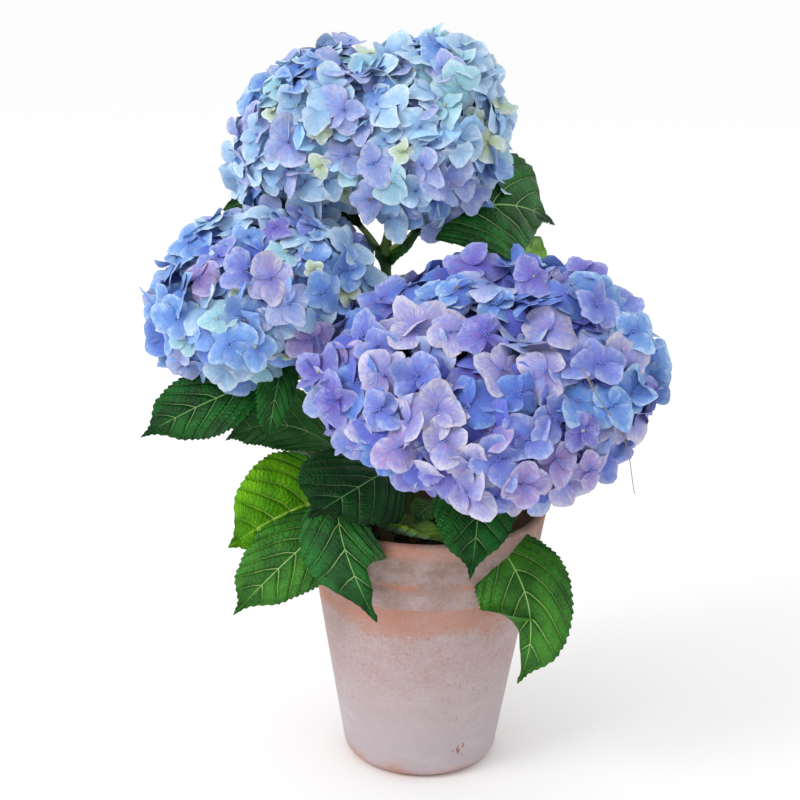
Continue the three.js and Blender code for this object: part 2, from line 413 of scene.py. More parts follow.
# Thrown by hand: a slow wobble round the wall and faint ridges up it.
def throwPot(bm, p):
    for v in bm.verts:
        level = v.co.z / mm
        if level < 0.3 or math.hypot(v.co.x, v.co.y) < 0.02:
            continue
        out = Vector((v.co.x, v.co.y, 0)).normalized()
        wobble = p["wobble"] * noise.noise(Vector((v.co.x * 14, v.co.y * 14, v.co.z * 9)))
        ridges = p["ridges"] * math.sin(level * 0.9) * (0.5 + noise.noise(v.co * 12))
        v.co += out * (wobble + ridges) * mm


def clayMaterial():
    p = clayPot
    material, tree, shader = newMaterial("limeBloomedClay", 0.9)
    place = ownPlace(tree)
    x, y, z = split(place)
    wide = cloud(place, 18.0, 4.0, 0.6)
    patches = cloud(place, 60.0, 6.0, 0.65)
    crumbs = cloud(place, 420.0, 3.0, 0.7)
    rubbed = cloud(stretched(place, (26, 26, 90)), 1.0, 5.0, 0.6)
    grain = useGroup(tree, grainGroup, Vector=place, Size=p["grain"])["Grain"]
    ragged = plus(swing(wide, 0.034), swing(patches, 0.014), swing(crumbs, 0.012))
    edge = plus(z, ragged)  # the height above the foot, with a ragged outline
    raw = hexColour(p["raw"])

    # Lime bloom over bare clay: thin and warm near the collar, thicker and cooler at the foot.
    warm = ramp(edge, 0.02, 0.125, 0.05, 0.52)
    thin = times(warm, ramp(patches, 0.36, 0.62, 0.80, 1.08), ramp(crumbs, 0.35, 0.65, 0.6, 1.4))
    colour = mixed(thin, hexColour(p["bloom"]), hexColour(p["clay"]))
    chalky = times(ramp(rubbed, 0.50, 0.66), ramp(z, 0.0, 0.10, 0.5, 0.12))
    colour = mixed(chalky, colour, hexColour(p["chalk"]))

    # Bare orange clay in a ragged band under the collar, with a tide line at its foot.
    low, seam = p["bandFoot"], (p["collarFoot"] + 0.3) * mm
    band = times(ramp(edge, low - 0.005, low + 0.004), maths("LESS_THAN", z, seam))
    band = times(band, ramp(rubbed, 0.34, 0.66, 0.74, 0.46))
    colour = mixed(band, colour, raw)
    tide = ramp(maths("ABSOLUTE", minus(edge, low)), 0.0, 0.0016, 0.15, 0.0)
    colour = mixed(tide, colour, raw)

    # The collar is duller and darker in patches, most towards its top: grime with painted shade under the
    # leaves that hang over it. It is bare along its ridge and under the rim.
    grime = times(maths("GREATER_THAN", z, seam), ramp(patches, 0.36, 0.66, 0.36, 0.90))
    grime = times(grime, ramp(z, 0.154, 0.172, 0.45, 1.0))
    colour = mixed(grime, colour, hexColour(p["grime"]))
    offRidge = maths("ABSOLUTE", minus(z, (p["ridge"] + 3) * mm))
    worn = times(ramp(offRidge, 0.0, 0.004, 0.8, 0.0), ramp(rubbed, 0.48, 0.60))
    colour = mixed(worn, colour, raw)
    lip = times(ramp(z, 0.182, 0.193), ramp(rubbed, 0.40, 0.60, 0.15, 0.6))
    colour = mixed(lip, colour, raw)

    # The foot's edge is bare, and one reddish stain and a few specks mark the wall.
    colour = mixed(ramp(edge, -0.004, 0.013, 0.85, 0.0), colour, raw)
    offStain = vectorMaths("DISTANCE", place, p["stainPlace"])["Value"]
    blots = cloud(stretched(place, (330, 330, 150)), 1.0, 3.0)
    beyond = times(ramp(offStain, 0.004, 0.011), -1.0)
    stain = ramp(plus(blots, times(beyond, 0.3)), 0.46, 0.58)
    specks = times(ramp(cloud(place, 210.0, 1.0), 0.74, 0.80), 0.5)
    colour = mixed(maths("MAXIMUM", stain, specks), colour, hexColour(p["stain"]))

    # Inside, the clay is a darker brown: damp clay with painted shade inside the pot.
    start, slope = p["midWall"]
    within = maths("LESS_THAN", distance(x, y), plus(times(z, slope), start))
    within = times(within, maths("GREATER_THAN", z, 0.004), maths("LESS_THAN", z, 0.1955))
    dampAndShaded = mixed(ramp(patches, 0.35, 0.65), hexColour(p["inner"]), hexColour(p["innerDry"]))
    colour = mixed(within, colour, dampAndShaded)
    feed(shader["Base Color"], mixed(0.22, colour, grain, "OVERLAY"))
    feed(shader["Roughness"], ramp(patches, 0.3, 0.7, 0.80, 0.95))
    addBump(tree, shader, plus(grain, times(rubbed, 0.8)), p["relief"])
    return material


pot = spun(finer(potProfile(clayPot), clayPot["spacing"]), clayPot["steps"])
throwPot(pot, clayPot)
addPiece("clayPot", meshOf("clayPot", pot, clayMaterial()), "terracotta", "clay_pot")
print("pot thrown")


soilPlan = {
    "level": 160, "mound": 5, "rough": 1.6, "bottom": 14, "foot": 49.5, "top": 73.9,
    "crumbs": 900, "crumbSize": (0.7, 2.6), "seed": 11,
    "dark": "17110d", "light": "33271d", "bark": "5b4836", "grain": 420.0, "relief": 0.0012,
}


def soilLevel(x, y):
    p = soilPlan
    away = math.hypot(x, y) / p["top"] / mm
    clods = noise.fractal(Vector((x * 60, y * 60, 3.0)), 0.8, 2.0, 4)
    return (p["level"] + p["mound"] * (1 - away * away) + p["rough"] * clods) * mm


def soilMaterial():
    p = soilPlan
    material, tree, shader = newMaterial("dampSoil", 0.95)
    grain = useGroup(tree, grainGroup, Vector=ownPlace(tree), Size=p["grain"])
    share = ramp(grain["Grain"], 0.35, 0.7)
    colour = mixed(share, hexColour(p["dark"]), hexColour(p["light"]))
    colour = mixed(times(grain["Specks"], 0.5), colour, hexColour(p["bark"]))
    feed(shader["Base Color"], colour)
    feed(shader["Roughness"], ramp(grain["Grain"], 0.3, 0.7, 0.75, 1.0))
    addBump(tree, shader, grain["Grain"], p["relief"])
    return material


def makeSoil():
    p = soilPlan
    rings = [p["top"] * s for s in np.linspace(1, 0, 26)]
    profile = [(0, p["bottom"]), (p["foot"], p["bottom"])]
    profile += [(p["foot"] + (p["top"] - p["foot"]) * s, p["bottom"] + (p["level"] - p["bottom"]) * s)
                for s in (0.25, 0.5, 0.75)]
    bm = spun(profile + [(r, p["level"]) for r in rings], 96)
    for v in bm.verts:
        if v.co.z > (p["level"] - 1) * mm and math.hypot(v.co.x, v.co.y) < (p["top"] - 0.5) * mm:
            v.co.z = soilLevel(v.co.x, v.co.y)
    earth = soilMaterial()
    addPiece("pottingSoil", meshOf("pottingSoil", bm, earth), "potting_soil", "potting_soil")

    rng = np.random.default_rng(p["seed"])
    crumb = bmesh.new()
    bmesh.ops.create_icosphere(crumb, subdivisions=1, radius=1.0)
    points, corners, sizes = patternOf(crumb)
    copies = []
    for _ in range(p["crumbs"]):
        reach = (p["top"] - 3) * mm * math.sqrt(rng.uniform())
        turn = rng.uniform(0, 2 * math.pi)
        x, y = reach * math.cos(turn), reach * math.sin(turn)
        size = rng.uniform(*p["crumbSize"]) * mm * rng.uniform(0.6, 1.0, 3)
        lumps = points * (1 + 0.25 * rng.normal(size=(len(points), 1))) * size
        spin = np.array(Matrix.Rotation(rng.uniform(0, 6.28), 3, Vector(rng.normal(size=3))))
        copies.append(lumps @ spin.T + (x, y, soilLevel(x, y)))
    copies = np.array(copies)
    mesh = joinedMesh("soilCrumbs", [(copies, corners, sizes, np.zeros(len(copies)), None)], [earth])
    addPiece("soilCrumbs", mesh, "potting_soil")


makeSoil()
print("soil laid")


stemPlans = {
    "middle": {"foot": 6.5, "tip": 3.6,
               "through": [(-6, 8, 158), (-16, 12, 270), (-32, 15, 386), (-20, 16, 425)]},
    "left": {"foot": 5.5, "tip": 3.2,
             "through": [(-24, 0, 158), (-50, -6, 235), (-88, -13, 296), (-112, -16, 335)]},
    "right": {"foot": 6, "tip": 3.4,
              "through": [(15, -2, 158), (24, -16, 215), (33, -50, 262), (38, -80, 300)]},
}
stemLook = {
    "sides": 16, "rings": 90, "slim": 0.78,
    "joint": 0.28, "jointHalf": 4,  # how far the stem swells where a leaf leaves it, and over what length
    "green": "567a34", "old": "6b5636", "dots": "8f8a5e",
    "woodyTo": 0.165, "greenFrom": 0.225,  # heights in metres
    "grain": 260.0, "relief": 0.0003,
}


# A smooth line through a few points, as a row of close points.
def lineThrough(points, steps=60):
    points = np.array(points, float)
    row = [2 * points[0] - points[1], *points, 2 * points[-1] - points[-2]]
    line = []
    t = np.linspace(0, 1, steps, endpoint=False)[:, None]
    for a, b, c, d in zip(row, row[1:], row[2:], row[3:]):
        ab, bc, cd = [math.sqrt(np.linalg.norm(q - p)) for p, q in ((a, b), (b, c), (c, d))]
        leave = ((b - a) / ab - (c - a) / (ab + bc) + (c - b) / bc) * bc
        arrive = ((c - b) / bc - (d - b) / (bc + cd) + (d - c) / cd) * bc
        line.append(b + leave * t + (3 * (c - b) - 2 * leave - arrive) * t ** 2
                    + (2 * (b - c) + leave + arrive) * t ** 3)
    return np.concatenate([*line, points[-1:]])


stemLines = {name: lineThrough(plan["through"]) * mm for name, plan in stemPlans.items()}


def stemPlace(name, height):
    line = stemLines[name]
    return np.array([np.interp(height, line[:, 2], line[:, i]) for i in range(3)])


# A round tube along a line, closed at both ends. It starts as a flat grid that is rolled up.
def tubeAlong(line, radii, sides):
    bm = bmesh.new()
    rings = len(line)
    bmesh.ops.create_grid(bm, x_segments=sides, y_segments=rings - 1, size=1)
    ahead = unit(np.gradient(line, axis=0))
    side = unit(np.cross(ahead, (0.15, 1.0, 0.1)))
    up = np.cross(side, ahead)
    for v in bm.verts:
        ring = round((v.co.y + 1) / 2 * (rings - 1))
        turn = math.pi * (v.co.x + 1)
        out = math.cos(turn) * side[ring] + math.sin(turn) * up[ring]
        v.co = Vector(line[ring] + out * radii[ring])
    bmesh.ops.remove_doubles(bm, verts=bm.verts, dist=1e-7)
    bmesh.ops.holes_fill(bm, edges=[e for e in bm.edges if e.is_boundary])
    bmesh.ops.recalc_face_normals(bm, faces=bm.faces)
    return bm


def stemMaterial():
    look = stemLook
    material, tree, shader = newMaterial("greenStem", 0.55)
    place = ownPlace(tree)
    grain = useGroup(tree, grainGroup, Vector=place, Size=look["grain"])["Grain"]
    height = plus(split(place)[2], swing(grain, 0.08))
    young = ramp(height, look["woodyTo"], look["greenFrom"])
    colour = mixed(young, hexColour(look["old"]), hexColour(look["green"]))
    dots = addNode(tree, "ShaderNodeTexVoronoi")
    feed(dots.inputs["Vector"], stretched(place, (420, 420, 190)))
    dots.inputs["Scale"].default_value = 1.0
    pores = ramp(dots.outputs["Distance"], 0.10, 0.22, 1.0, 0.0)
    colour = mixed(times(pores, 0.6), colour, hexColour(look["dots"]))
    feed(shader["Base Color"], colour)
    feed(shader["Roughness"], ramp(grain, 0.3, 0.7, 0.45, 0.65))
    addBump(tree, shader, plus(grain, pores), look["relief"])
    return material


greenStem = stemMaterial()
print("stem finish mixed")


# For each leaf: its stem and the height where it leaves it, its tip, the stalk's share of its
# length, how far it arches up and sways aside, the blade's width, roll and twist, and its green.
# The options: lop makes one side wider, widest and drawn shape the outline, keel folds it along
# the midrib, crest says how far out the arch is, coarse is the size of its teeth and stout that
# of its stalk. curls roll part of a margin up or under: side, start, end and half turns.
leafMeasures = ("stem", "at", "tip", "stalk", "arch", "sway", "width", "roll", "twist", "kind")


def leaf(*measures, **options):
    return {**dict(zip(leafMeasures, measures)), **options}


leafPlans = {
    "top_right": leaf("middle", 381, (92, 57, 397), 0.17, 31, -36, 103, 37, 14, "mid",
                      stout=1.5, coarse=1.6, drawn=(0.68, 0.88, 0.74)),
    "top_left": leaf("middle", 376, (-153, 54, 404), 0.2, 27, -6, 84, -46, -14, "dark",
                     stout=1.3, widest=0.62),
    "young": leaf("middle", 322, (82, 58, 388), 0.25, -16, 0, 62, 58, 0, "fresh",
                  widest=0.6, drawn=(0.9, 1.0, 0.2), coarse=1.3),
    "left_far": leaf("left", 302, (-200, -51, 261), 0.15, 8, 9, 57, -31, -23, "dark"),
    "left_hanging": leaf("left", 318, (-109, -86, 268), 0.12, 12, 2, 29, 4, 3, "mid"),
    "left_middle": leaf("left", 222, (-142, -42, 257), 0.14, 14, -31, 60, -30, -19, "soft", lop=0.25),
    "low_left_bright": leaf("left", 208, (-139, -62, 184), 0.2, 8, -2, 87, -65, -8, "bright"),
    "low_left": leaf("left", 206, (-134, -78, 140), 0.25, 16, 14, 62, -22, -15, "light"),
    "front_dark": leaf("middle", 226, (-80, -103, 223), 0.24, 15, 17, 78, -36, 2, "deep",
                       keel=-0.42, lop=0.15, widest=0.47),
    "front_left": leaf("middle", 205, (-33, -112, 152), 0.3, 46, -37, 64, 5, 10, "mid",
                       widest=0.66, lop=0.1, curls=[(-1, 0.58, 1.0, -1.7)]),
    "front_right": leaf("right", 200, (29, -119, 188), 0.2, 36, 9, 62, 11, 4, "mid"),
    "right_low": leaf("right", 205, (66, -94, 99), 0.25, 38, 7, 66, 18, 42, "light",
                      crest=0.72, curls=[(1, 0.44, 0.68, 0.9), (1, 0.53, 1.0, -1.3)]),
    "fork": leaf("middle", 381, (-8, -18, 403), 0.04, -3, 0, 30, 44, 0, "dark"),
    "forkSide": leaf("middle", 381, (-45, -17, 398), 0.04, -3, 0, 28, -44, 0, "dark"),
    "rim": leaf("left", 184, (17, -83, 199.5), 0.15, 3, -15, 38, 14, 0, "young",
                keel=0.3, curls=[(1, 0.02, 0.98, 0.64)]),
    "inner": leaf("right", 196, (-8, -52, 202), 0.3, 6, -4, 24, -20, 0, "light"),
    "back_left": leaf("left", 196, (-84, 98, 172), 0.25, 34, 0, 78, 8, 12, "mid"),
    "back_low": leaf("middle", 214, (-4, 142, 184), 0.25, 34, 6, 82, -6, -10, "light"),
    "back_right": leaf("right", 206, (92, 92, 186), 0.25, 30, -6, 80, -8, 10, "mid"),
    "side_right": leaf("right", 226, (138, 24, 236), 0.25, 20, 8, 74, 10, -8, "mid"),
    "back_middle": leaf("middle", 268, (44, 128, 270), 0.22, 30, 4, 78, 6, 8, "dark"),
    "back_side": leaf("left", 280, (-104, 90, 322), 0.22, 18, -6, 70, -10, 0, "mid"),
    "back_rear": leaf("left", 296, (-62, 96, 286), 0.22, 20, 8, 72, 8, 6, "dark"),
    "back_low_left": leaf("left", 214, (-122, 62, 166), 0.25, 26, 0, 70, -8, 8, "light"),
    "side_low_right": leaf("right", 206, (116, 50, 196), 0.25, 26, 0, 62, 6, 8, "bright"),
    "back_far_right": leaf("right", 246, (122, 70, 272), 0.25, 20, 0, 74, -6, 0, "mid"),
    "back_top": leaf("middle", 384, (6, 124, 408), 0.22, 14, 0, 70, 0, 10, "mid"),
    "back_high": leaf("middle", 334, (-52, 120, 332), 0.22, 18, 0, 72, 6, -10, "dark"),
}
smallLeaves = ("fork", "forkSide")  # these two stand for no node
leafLook = {
    "lanes": 30, "stalkRows": 8, "rowsPerTooth": 4,
    "toothLength": 3.9, "toothDepth": 1.9,
    "thickness": 0.5, "stalkRadius": 1.7, "rib": 1.0,
    "widestAt": 0.44, "droop": 0.1, "keel": 0.16,
    "drawn": (0.78, 0.95, 0.62),  # where the tip is drawn out, from and to, and how much
    "veins": 6.8, "reach": 0.22, "bend": 0.26,  # side veins: how many, and how they run forward
    "narrows": (0.42, 0.58),  # where the blade starts to narrow, and by how much in all
    "quilt": 1.3, "wave": 2.2, "groove": 1.0,
    "flat": 0.15,  # share of a half blade that stays flat where its margin curls
    "stalkMap": 0.12, "halfMap": 0.23,  # share of the map that the stalk takes, and half a blade
    "mapEnds": (0.01, 0.99), "mapGap": 0.008,  # from foot to tip, and half the edge's strip
    # Half widths at the start and end, of side veins in spacings and of the midrib in half blades.
    "veinSlim": (0.040, 0.021), "ribSlim": (0.021, 0.010),
    "rungs": 15.0,  # fine veins from the midrib to the margin
    "relief": 0.0011,
}
# Each green's blade, shaded blade, veins and stalk. The last is for the paler undersides.
greens = {
    "deep": ("06460f", "032408", "68a05a", "7a9c4e"),
    "dark": ("10601a", "042a0a", "8aba6a", "a6c468"),
    "mid": ("15681d", "04300b", "92c06e", "a4c468"),
    # This green is lighter and greyer than the other leaves': partly the leaf's own tone, and partly
    # painted sheen and painted light on the left_middle leaf, which lies in the shade of the left bloom.
    "soft": ("4a9044", "1e6022", "c0e08c", "b0cc70"),
    "light": ("3c821e", "174e12", "acd07a", "8fae52"),
    "bright": ("72bc08", "3c8404", "bcdc5c", "98b954"),
    # This green is the rim leaf's own yellow-green, darkened as painted shade.
    "young": ("6e9430", "466c1c", "a8bc68", "9ab55a"),
    # This green is the young leaf's own light green made brighter still: painted light shining through the
    # leaf.
    "fresh": ("b4e884", "8ccc54", "dcf4a8", "b4cc78"),
    "under": ("7c9c76", "66885e", "a4ba8c", "8aa660"),
}


def leafPatternGroup():
    look = leafLook
    takes = {"Map": "v", "Blade": "c", "Shade": "c", "Veins": "c", "Stalk": "c"}
    gives = {"Colour": "c", "Roughness": "f", "Height": "f"}
    tree, given, result = newGroup("leafPattern", takes, gives)
    chart, stalkMap, mapEnd = given["Map"], look["stalkMap"], look["mapEnds"][1]
    u, v, _ = split(chart)
    across = maths("FRACT", times(u, 2.0))
    lane = times(minus(across, 0.5), 1 / look["halfMap"] / 2)
    aside = maths("ABSOLUTE", lane)
    onBlade = maths("DIVIDE", minus(v, stalkMap), mapEnd - stalkMap)

    # Side veins leave the midrib and sweep forward to the margin.
    start, narrowing = look["narrows"]
    past = ramp(onBlade, start, 1.0)
    spread = minus(1.0, times(past, past, narrowing))
    bend = times(aside, ramp(past, 0.0, 1.0, look["bend"], 0.0))
    swept = times(aside, plus(bend, look["reach"]), spread)
    wander = swing(cloud(chart, 9.0), 0.035)
    veins = times(minus(plus(onBlade, wander), swept), look["veins"])
    between = offWhole(veins)
    slim = ramp(aside, 0.0, 1.0, *look["veinSlim"])
    line = ramp(maths("DIVIDE", between, slim), 0.3, 1.1, 1.0, 0.0)
    grown = times(ramp(veins, -0.25, -0.15), ramp(onBlade, 0.68, 0.90, 1.0, 0.0))
    line = times(line, grown)
    ribSlim = ramp(onBlade, 0.0, 1.0, *look["ribSlim"])
    rib = ramp(maths("DIVIDE", aside, ribSlim), 0.5, 1.2, 1.0, 0.0)

    # Fine veins cross each panel like rungs.
    panel = plus(maths("FLOOR", veins), times(maths("SIGN", lane), 40.0))
    near = combined(times(aside, 5.0), times(panel, 7.3), times(veins, 1.5))
    slide = cloud(near, 1.0, 1.0)
    slant = times(maths("FRACT", veins), 2.5)
    rung = offWhole(plus(times(aside, look["rungs"]), times(slide, 2.4), slant))
    apart = ramp(aside, 0.04, 0.14)
    mesh = times(ramp(rung, 0.02, 0.12, 1.0, 0.0), apart)
    fine = cloud(stretched(chart, (90, 60, 1)), 1.0, 2.0)

    # Painted shade of the quilting: the blade is darker beside each side vein and towards the fine veins
    # between the puffed cells. It is also darker in patches at random.
    blotch = cloud(chart, 5.0, 3.0)
    veinShade = ramp(between, 0.04, 0.20, 0.32, 0.0)
    cells = plus(times(ramp(rung, 0.08, 0.40, 0.20, 0.0), apart), ramp(fine, 0.40, 0.60, 0.0, 0.22))
    shaded = plus(veinShade, ramp(blotch, 0.38, 0.62, -0.1, 0.6))
    shaded = maths("ADD", shaded, cells, clamp=True)
    colour = mixed(shaded, given["Blade"], given["Shade"])
    colour = mixed(times(mesh, 0.09), colour, given["Veins"])
    faint = ramp(aside, 0.2, 1.0, 0.80, 0.45)
    drawn = maths("MAXIMUM", times(rib, 0.9), times(line, faint))
    colour = mixed(drawn, colour, given["Veins"])
    stalk = ramp(v, stalkMap - 0.01, stalkMap + 0.03, 1.0, 0.0)
    feed(result["Colour"], mixed(stalk, colour, given["Stalk"]))
    feed(result["Roughness"], ramp(blotch, 0.3, 0.7, 0.34, 0.50))

    puff = plus(ramp(between, 0.0, 0.25), times(ramp(rung, 0.0, 0.4, 0.0, 0.26), apart), times(fine, 0.9))
    puff = minus(puff, times(maths("MAXIMUM", rib, line), 0.2))
    feed(result["Height"], times(puff, minus(1.0, stalk)))
    return tree


def leafMaterials():
    group = leafPatternGroup()
    made = {}
    for kind, codes in greens.items():
        material, tree, shader = newMaterial(kind + "Leaf", 0.5)
        shader["Specular IOR Level"].default_value = 0.22
        colours = dict(zip(("Blade", "Shade", "Veins", "Stalk"), map(hexColour, codes)))
        drawn = useGroup(tree, group, Map=ownMap(tree), **colours)
        feed(shader["Base Color"], drawn["Colour"])
        feed(shader["Roughness"], drawn["Roughness"])
        depth = leafLook["relief"] * (1 if kind != "under" else -1)
        addBump(tree, shader, drawn["Height"], depth)
        made[kind] = material
    return made


leafFinish = leafMaterials()


def bladeHalfWidth(share, width, widest, drawn):
    power = math.log(0.5) / math.log(widest)
    oval = np.sin(np.pi * np.clip(share, 0, 1) ** power).clip(0) ** 0.8
    start, end, amount = drawn
    drawnOut = 1 - amount * smoothStep(start, end, share)
    return (width / 2) * oval * drawnOut


# Where the points of one leaf lie. lane is -1 to 1 across it, share 0 to 1 along it and face
# -1 under and 1 on top.
def leafPoints(plan, lane, share, face, seed):
    look = leafLook
    rng = np.random.default_rng(seed)
    foot = stemPlace(plan["stem"], plan["at"] * mm)
    tip = np.array(plan["tip"]) * mm
    chord = tip - foot
    across = np.cross(unit(np.array([chord[0], chord[1], 0])), (0, 0, 1))
    lift = unit(np.cross(across, chord))
    bend = foot + plan.get("crest", 0.46) * chord
    bend = bend + lift * 2 * plan["arch"] * mm - across * 2 * plan["sway"] * mm

    def onCurve(t):
        t = np.atleast_1d(t)[:, None]
        return (1 - t) ** 2 * foot + 2 * t * (1 - t) * bend + t * t * tip

    marks = np.linspace(0, 1, 201)
    steps = np.linalg.norm(np.diff(onCurve(marks), axis=0), axis=1)
    length = steps.sum()
    t = np.interp(share, np.concatenate([[0], np.cumsum(steps)]) / length, marks)
    ahead = unit((1 - t)[:, None] * (bend - foot) + t[:, None] * (tip - bend))

    onBlade = np.clip((share - plan["stalk"]) / (1 - plan["stalk"]), 0, 1)
    turn = np.radians(plan["roll"] + plan["twist"] * onBlade)[:, None]
    side = (across * np.cos(turn) + np.cross(ahead, across) * np.sin(turn)
            + ahead * (ahead @ across)[:, None] * (1 - np.cos(turn)))
    up = unit(np.cross(side, ahead))

    # Outline: the oval blade, with saw teeth that point forward.
    aside = np.abs(lane)
    widest, drawn = plan.get("widest", look["widestAt"]), plan.get("drawn", look["drawn"])
    half = bladeHalfWidth(onBlade, plan["width"], widest, drawn) * mm
    half *= 1 + plan.get("lop", 0) * lane
    radius = look["stalkRadius"] * plan.get("stout", 1.0) * mm
    bladed = smoothStep(0, 0.05, onBlade)
    wide = np.maximum(half, radius * (1 - onBlade * 0.8))
    coarse = plan.get("coarse", 1.0)
    teeth = round(length * (1 - plan["stalk"]) / (look["toothLength"] * coarse * mm))
    bite = (onBlade * teeth) % 1
    toothed = smoothStep(0.03, 0.12, onBlade) * (1 - smoothStep(0.93, 0.99, onBlade))
    tooth = look["toothDepth"] * coarse * mm * (bite - 0.6) * toothed * aside ** 10
    reach = lane * wide + np.sign(lane) * tooth

    # Relief: panels puff up between the side veins, and the margin waves a little.
    past = np.clip((onBlade - look["narrows"][0]) / (1 - look["narrows"][0]), 0, 1)
    spread = 1 - look["narrows"][1] * past ** 2
    veins = look["veins"] * (onBlade - spread * aside * (look["reach"] + look["bend"] * (1 - past) * aside))
    panel = np.abs(np.sin(np.pi * veins)) ** 0.7
    window = bladed * smoothStep(0.0, 0.18, aside) * (1 - 0.6 * smoothStep(0.75, 1, aside))
    window *= (veins > -0.3) * (1 - smoothStep(0.86, 1, onBlade))
    scale = plan["width"] / 70
    rise = look["quilt"] * mm * scale * (panel - 0.5) * window
    phase = rng.uniform(0, 6.28, 2)
    ruffle = np.sin(onBlade * 14 + phase[0] + (lane > 0) * phase[1]) * aside ** 3
    rise += look["wave"] * mm * scale * ruffle * bladed * (1 - onBlade ** 3)
    rise -= look["groove"] * mm * scale * np.exp(-(aside / 0.10) ** 2) * bladed * (1 - onBlade)

    # Thickness: a round stalk that runs on as the rib under the blade.
    stalkThick = radius * np.sqrt(np.clip(1 - lane ** 2, 0.02, 1))
    ribbed = look["rib"] * mm * (1 - 0.85 * onBlade) * np.exp(-(reach / (1.3 * mm)) ** 2)
    thin = look["thickness"] / 2 * mm + np.where(face < 0, ribbed, 0)
    thick = stalkThick * (1 - bladed) + thin * bladed
    rise = rise - look["droop"] * lane ** 2 * wide + face * thick
    rise += plan.get("keel", look["keel"]) * aside * half * (1 - 0.5 * onBlade)

    for margin, start, end, amount in plan.get("curls", ()):
        within = smoothStep(start, start + 0.14, onBlade) * (1 - smoothStep(end - 0.1, end, onBlade))
        flat = look["flat"]
        outer = np.clip((lane * margin - flat) / (1 - flat), 0, 1)
        inward, upward = arched(outer, np.pi * amount * within)
        reach -= margin * (outer - inward) * (1 - flat) * half
        rise += upward * (1 - flat) * half
    return onCurve(t) + side * reach[:, None] + up * rise[:, None]


def makeLeaf(name, plan, seed):
    look = leafLook
    blade = np.linalg.norm(np.array(plan["tip"]) * mm - stemPlace(plan["stem"], plan["at"] * mm))
    # An arched leaf is about a tenth longer than the straight way to its tip.
    teeth = max(12, round(blade * (1 - plan["stalk"]) * 1.1 / (look["toothLength"] * mm)))
    rows = look["stalkRows"] + teeth * look["rowsPerTooth"]
    bm = bmesh.new()
    bmesh.ops.create_grid(bm, x_segments=look["lanes"], y_segments=rows, size=1)
    bmesh.ops.reverse_faces(bm, faces=bm.faces)
    grown = bmesh.ops.extrude_face_region(bm, geom=bm.faces[:], use_keep_orig=True)
    top = [g for g in grown["geom"] if isinstance(g, bmesh.types.BMVert)]
    bmesh.ops.translate(bm, verts=top, vec=(0, 0, 1))
    bmesh.ops.recalc_face_normals(bm, faces=bm.faces)
    bm.verts.index_update()
    flat = np.array([v.co for v in bm.verts])
    lane, step, face = flat[:, 0], (flat[:, 1] + 1) / 2 * rows, np.where(flat[:, 2] > 0.5, 1, -1)
    first = look["stalkRows"]
    share = np.where(step < first, step / first * plan["stalk"],
                     plan["stalk"] + (1 - plan["stalk"]) * (step - first) / (rows - first))

    # Map: the top fills the left half, the underside the right half and the edge the gap.
    chart = bm.loops.layers.uv.new("OFBake")
    stalkMap, (low, high) = look["stalkMap"], look["mapEnds"]
    upMap = np.where(step < first, low + (stalkMap - low) * step / first,
                     stalkMap + (high - stalkMap) * (step - first) / (rows - first))
    for f in bm.faces:
        faces = {face[v.index] for v in f.verts}
        f.material_index = 0 if faces != {-1} else 1
        for loop in f.loops:
            i = loop.vert.index
            if len(faces) > 1:
                u = 0.5 - look["mapGap"] * face[i]
            else:
                u = 0.25 + look["halfMap"] * lane[i] + (0.5 if face[i] < 0 else 0)
            loop[chart].uv = (u, upMap[i])
    for v, place in zip(bm.verts, leafPoints(plan, lane, share, face, seed)):
        v.co = place
    mesh = meshOf(name, bm, leafFinish[plan["kind"]], leafFinish["under"])
    piece = "leaf" + "".join(word.capitalize() for word in name.split("_"))
    stoodFor = [] if name in smallLeaves else ["leaf_" + name]
    addPiece(piece, mesh, "leaf", *stoodFor)


for number, (name, plan) in enumerate(leafPlans.items()):
    makeLeaf(name, plan, 100 + number)
print("leaves grown")


def makeStem(name, plan):
    look = stemLook
    line = stemLines[name]
    share = np.linspace(0, 1, look["rings"])
    steps = np.linspace(0, 1, len(line))
    path = np.column_stack([np.interp(share, steps, line[:, i]) for i in range(3)])
    radii = (plan["foot"] + (plan["tip"] - plan["foot"]) * share) * mm * look["slim"]
    for borne in leafPlans.values():
        if borne["stem"] == name:
            away = (path[:, 2] - borne["at"] * mm) / (look["jointHalf"] * mm)
            radii *= 1 + look["joint"] * np.exp(-away ** 2)
    bm = tubeAlong(path, np.minimum(radii, (plan["foot"] + 1.5) * mm), look["sides"])
    addPiece(name + "Stem", meshOf(name + "Stem", bm, greenStem), "stem", "stem_" + name)


# A thin dry strand of the plant that trails from the large head.
strand = {
    "through": [(91, -160, 346), (99, -170, 333), (121, -152, 298), (131, -142, 259)],
    "thick": 0.45, "thin": 0.25, "colour": "8a7a5c",
}


def makeStrand():
    line = lineThrough(strand["through"], 20) * mm
    radii = np.linspace(strand["thick"], strand["thin"], len(line)) * mm
    dry = plainMaterial("dryStrand", strand["colour"], 0.7)
    addPiece("dryStrand", meshOf("dryStrand", tubeAlong(line, radii, 6), dry), "stem")


for name, plan in stemPlans.items():
    makeStem(name, plan)
makeStrand()
print("stems grown")


topLobe = {
    "slot": "flower_pale", "gap": 14.5, "size": (29, 40), "sink": (5, 10.5), "crumple": 0.95,
    "deepTint": "deepSky",
}
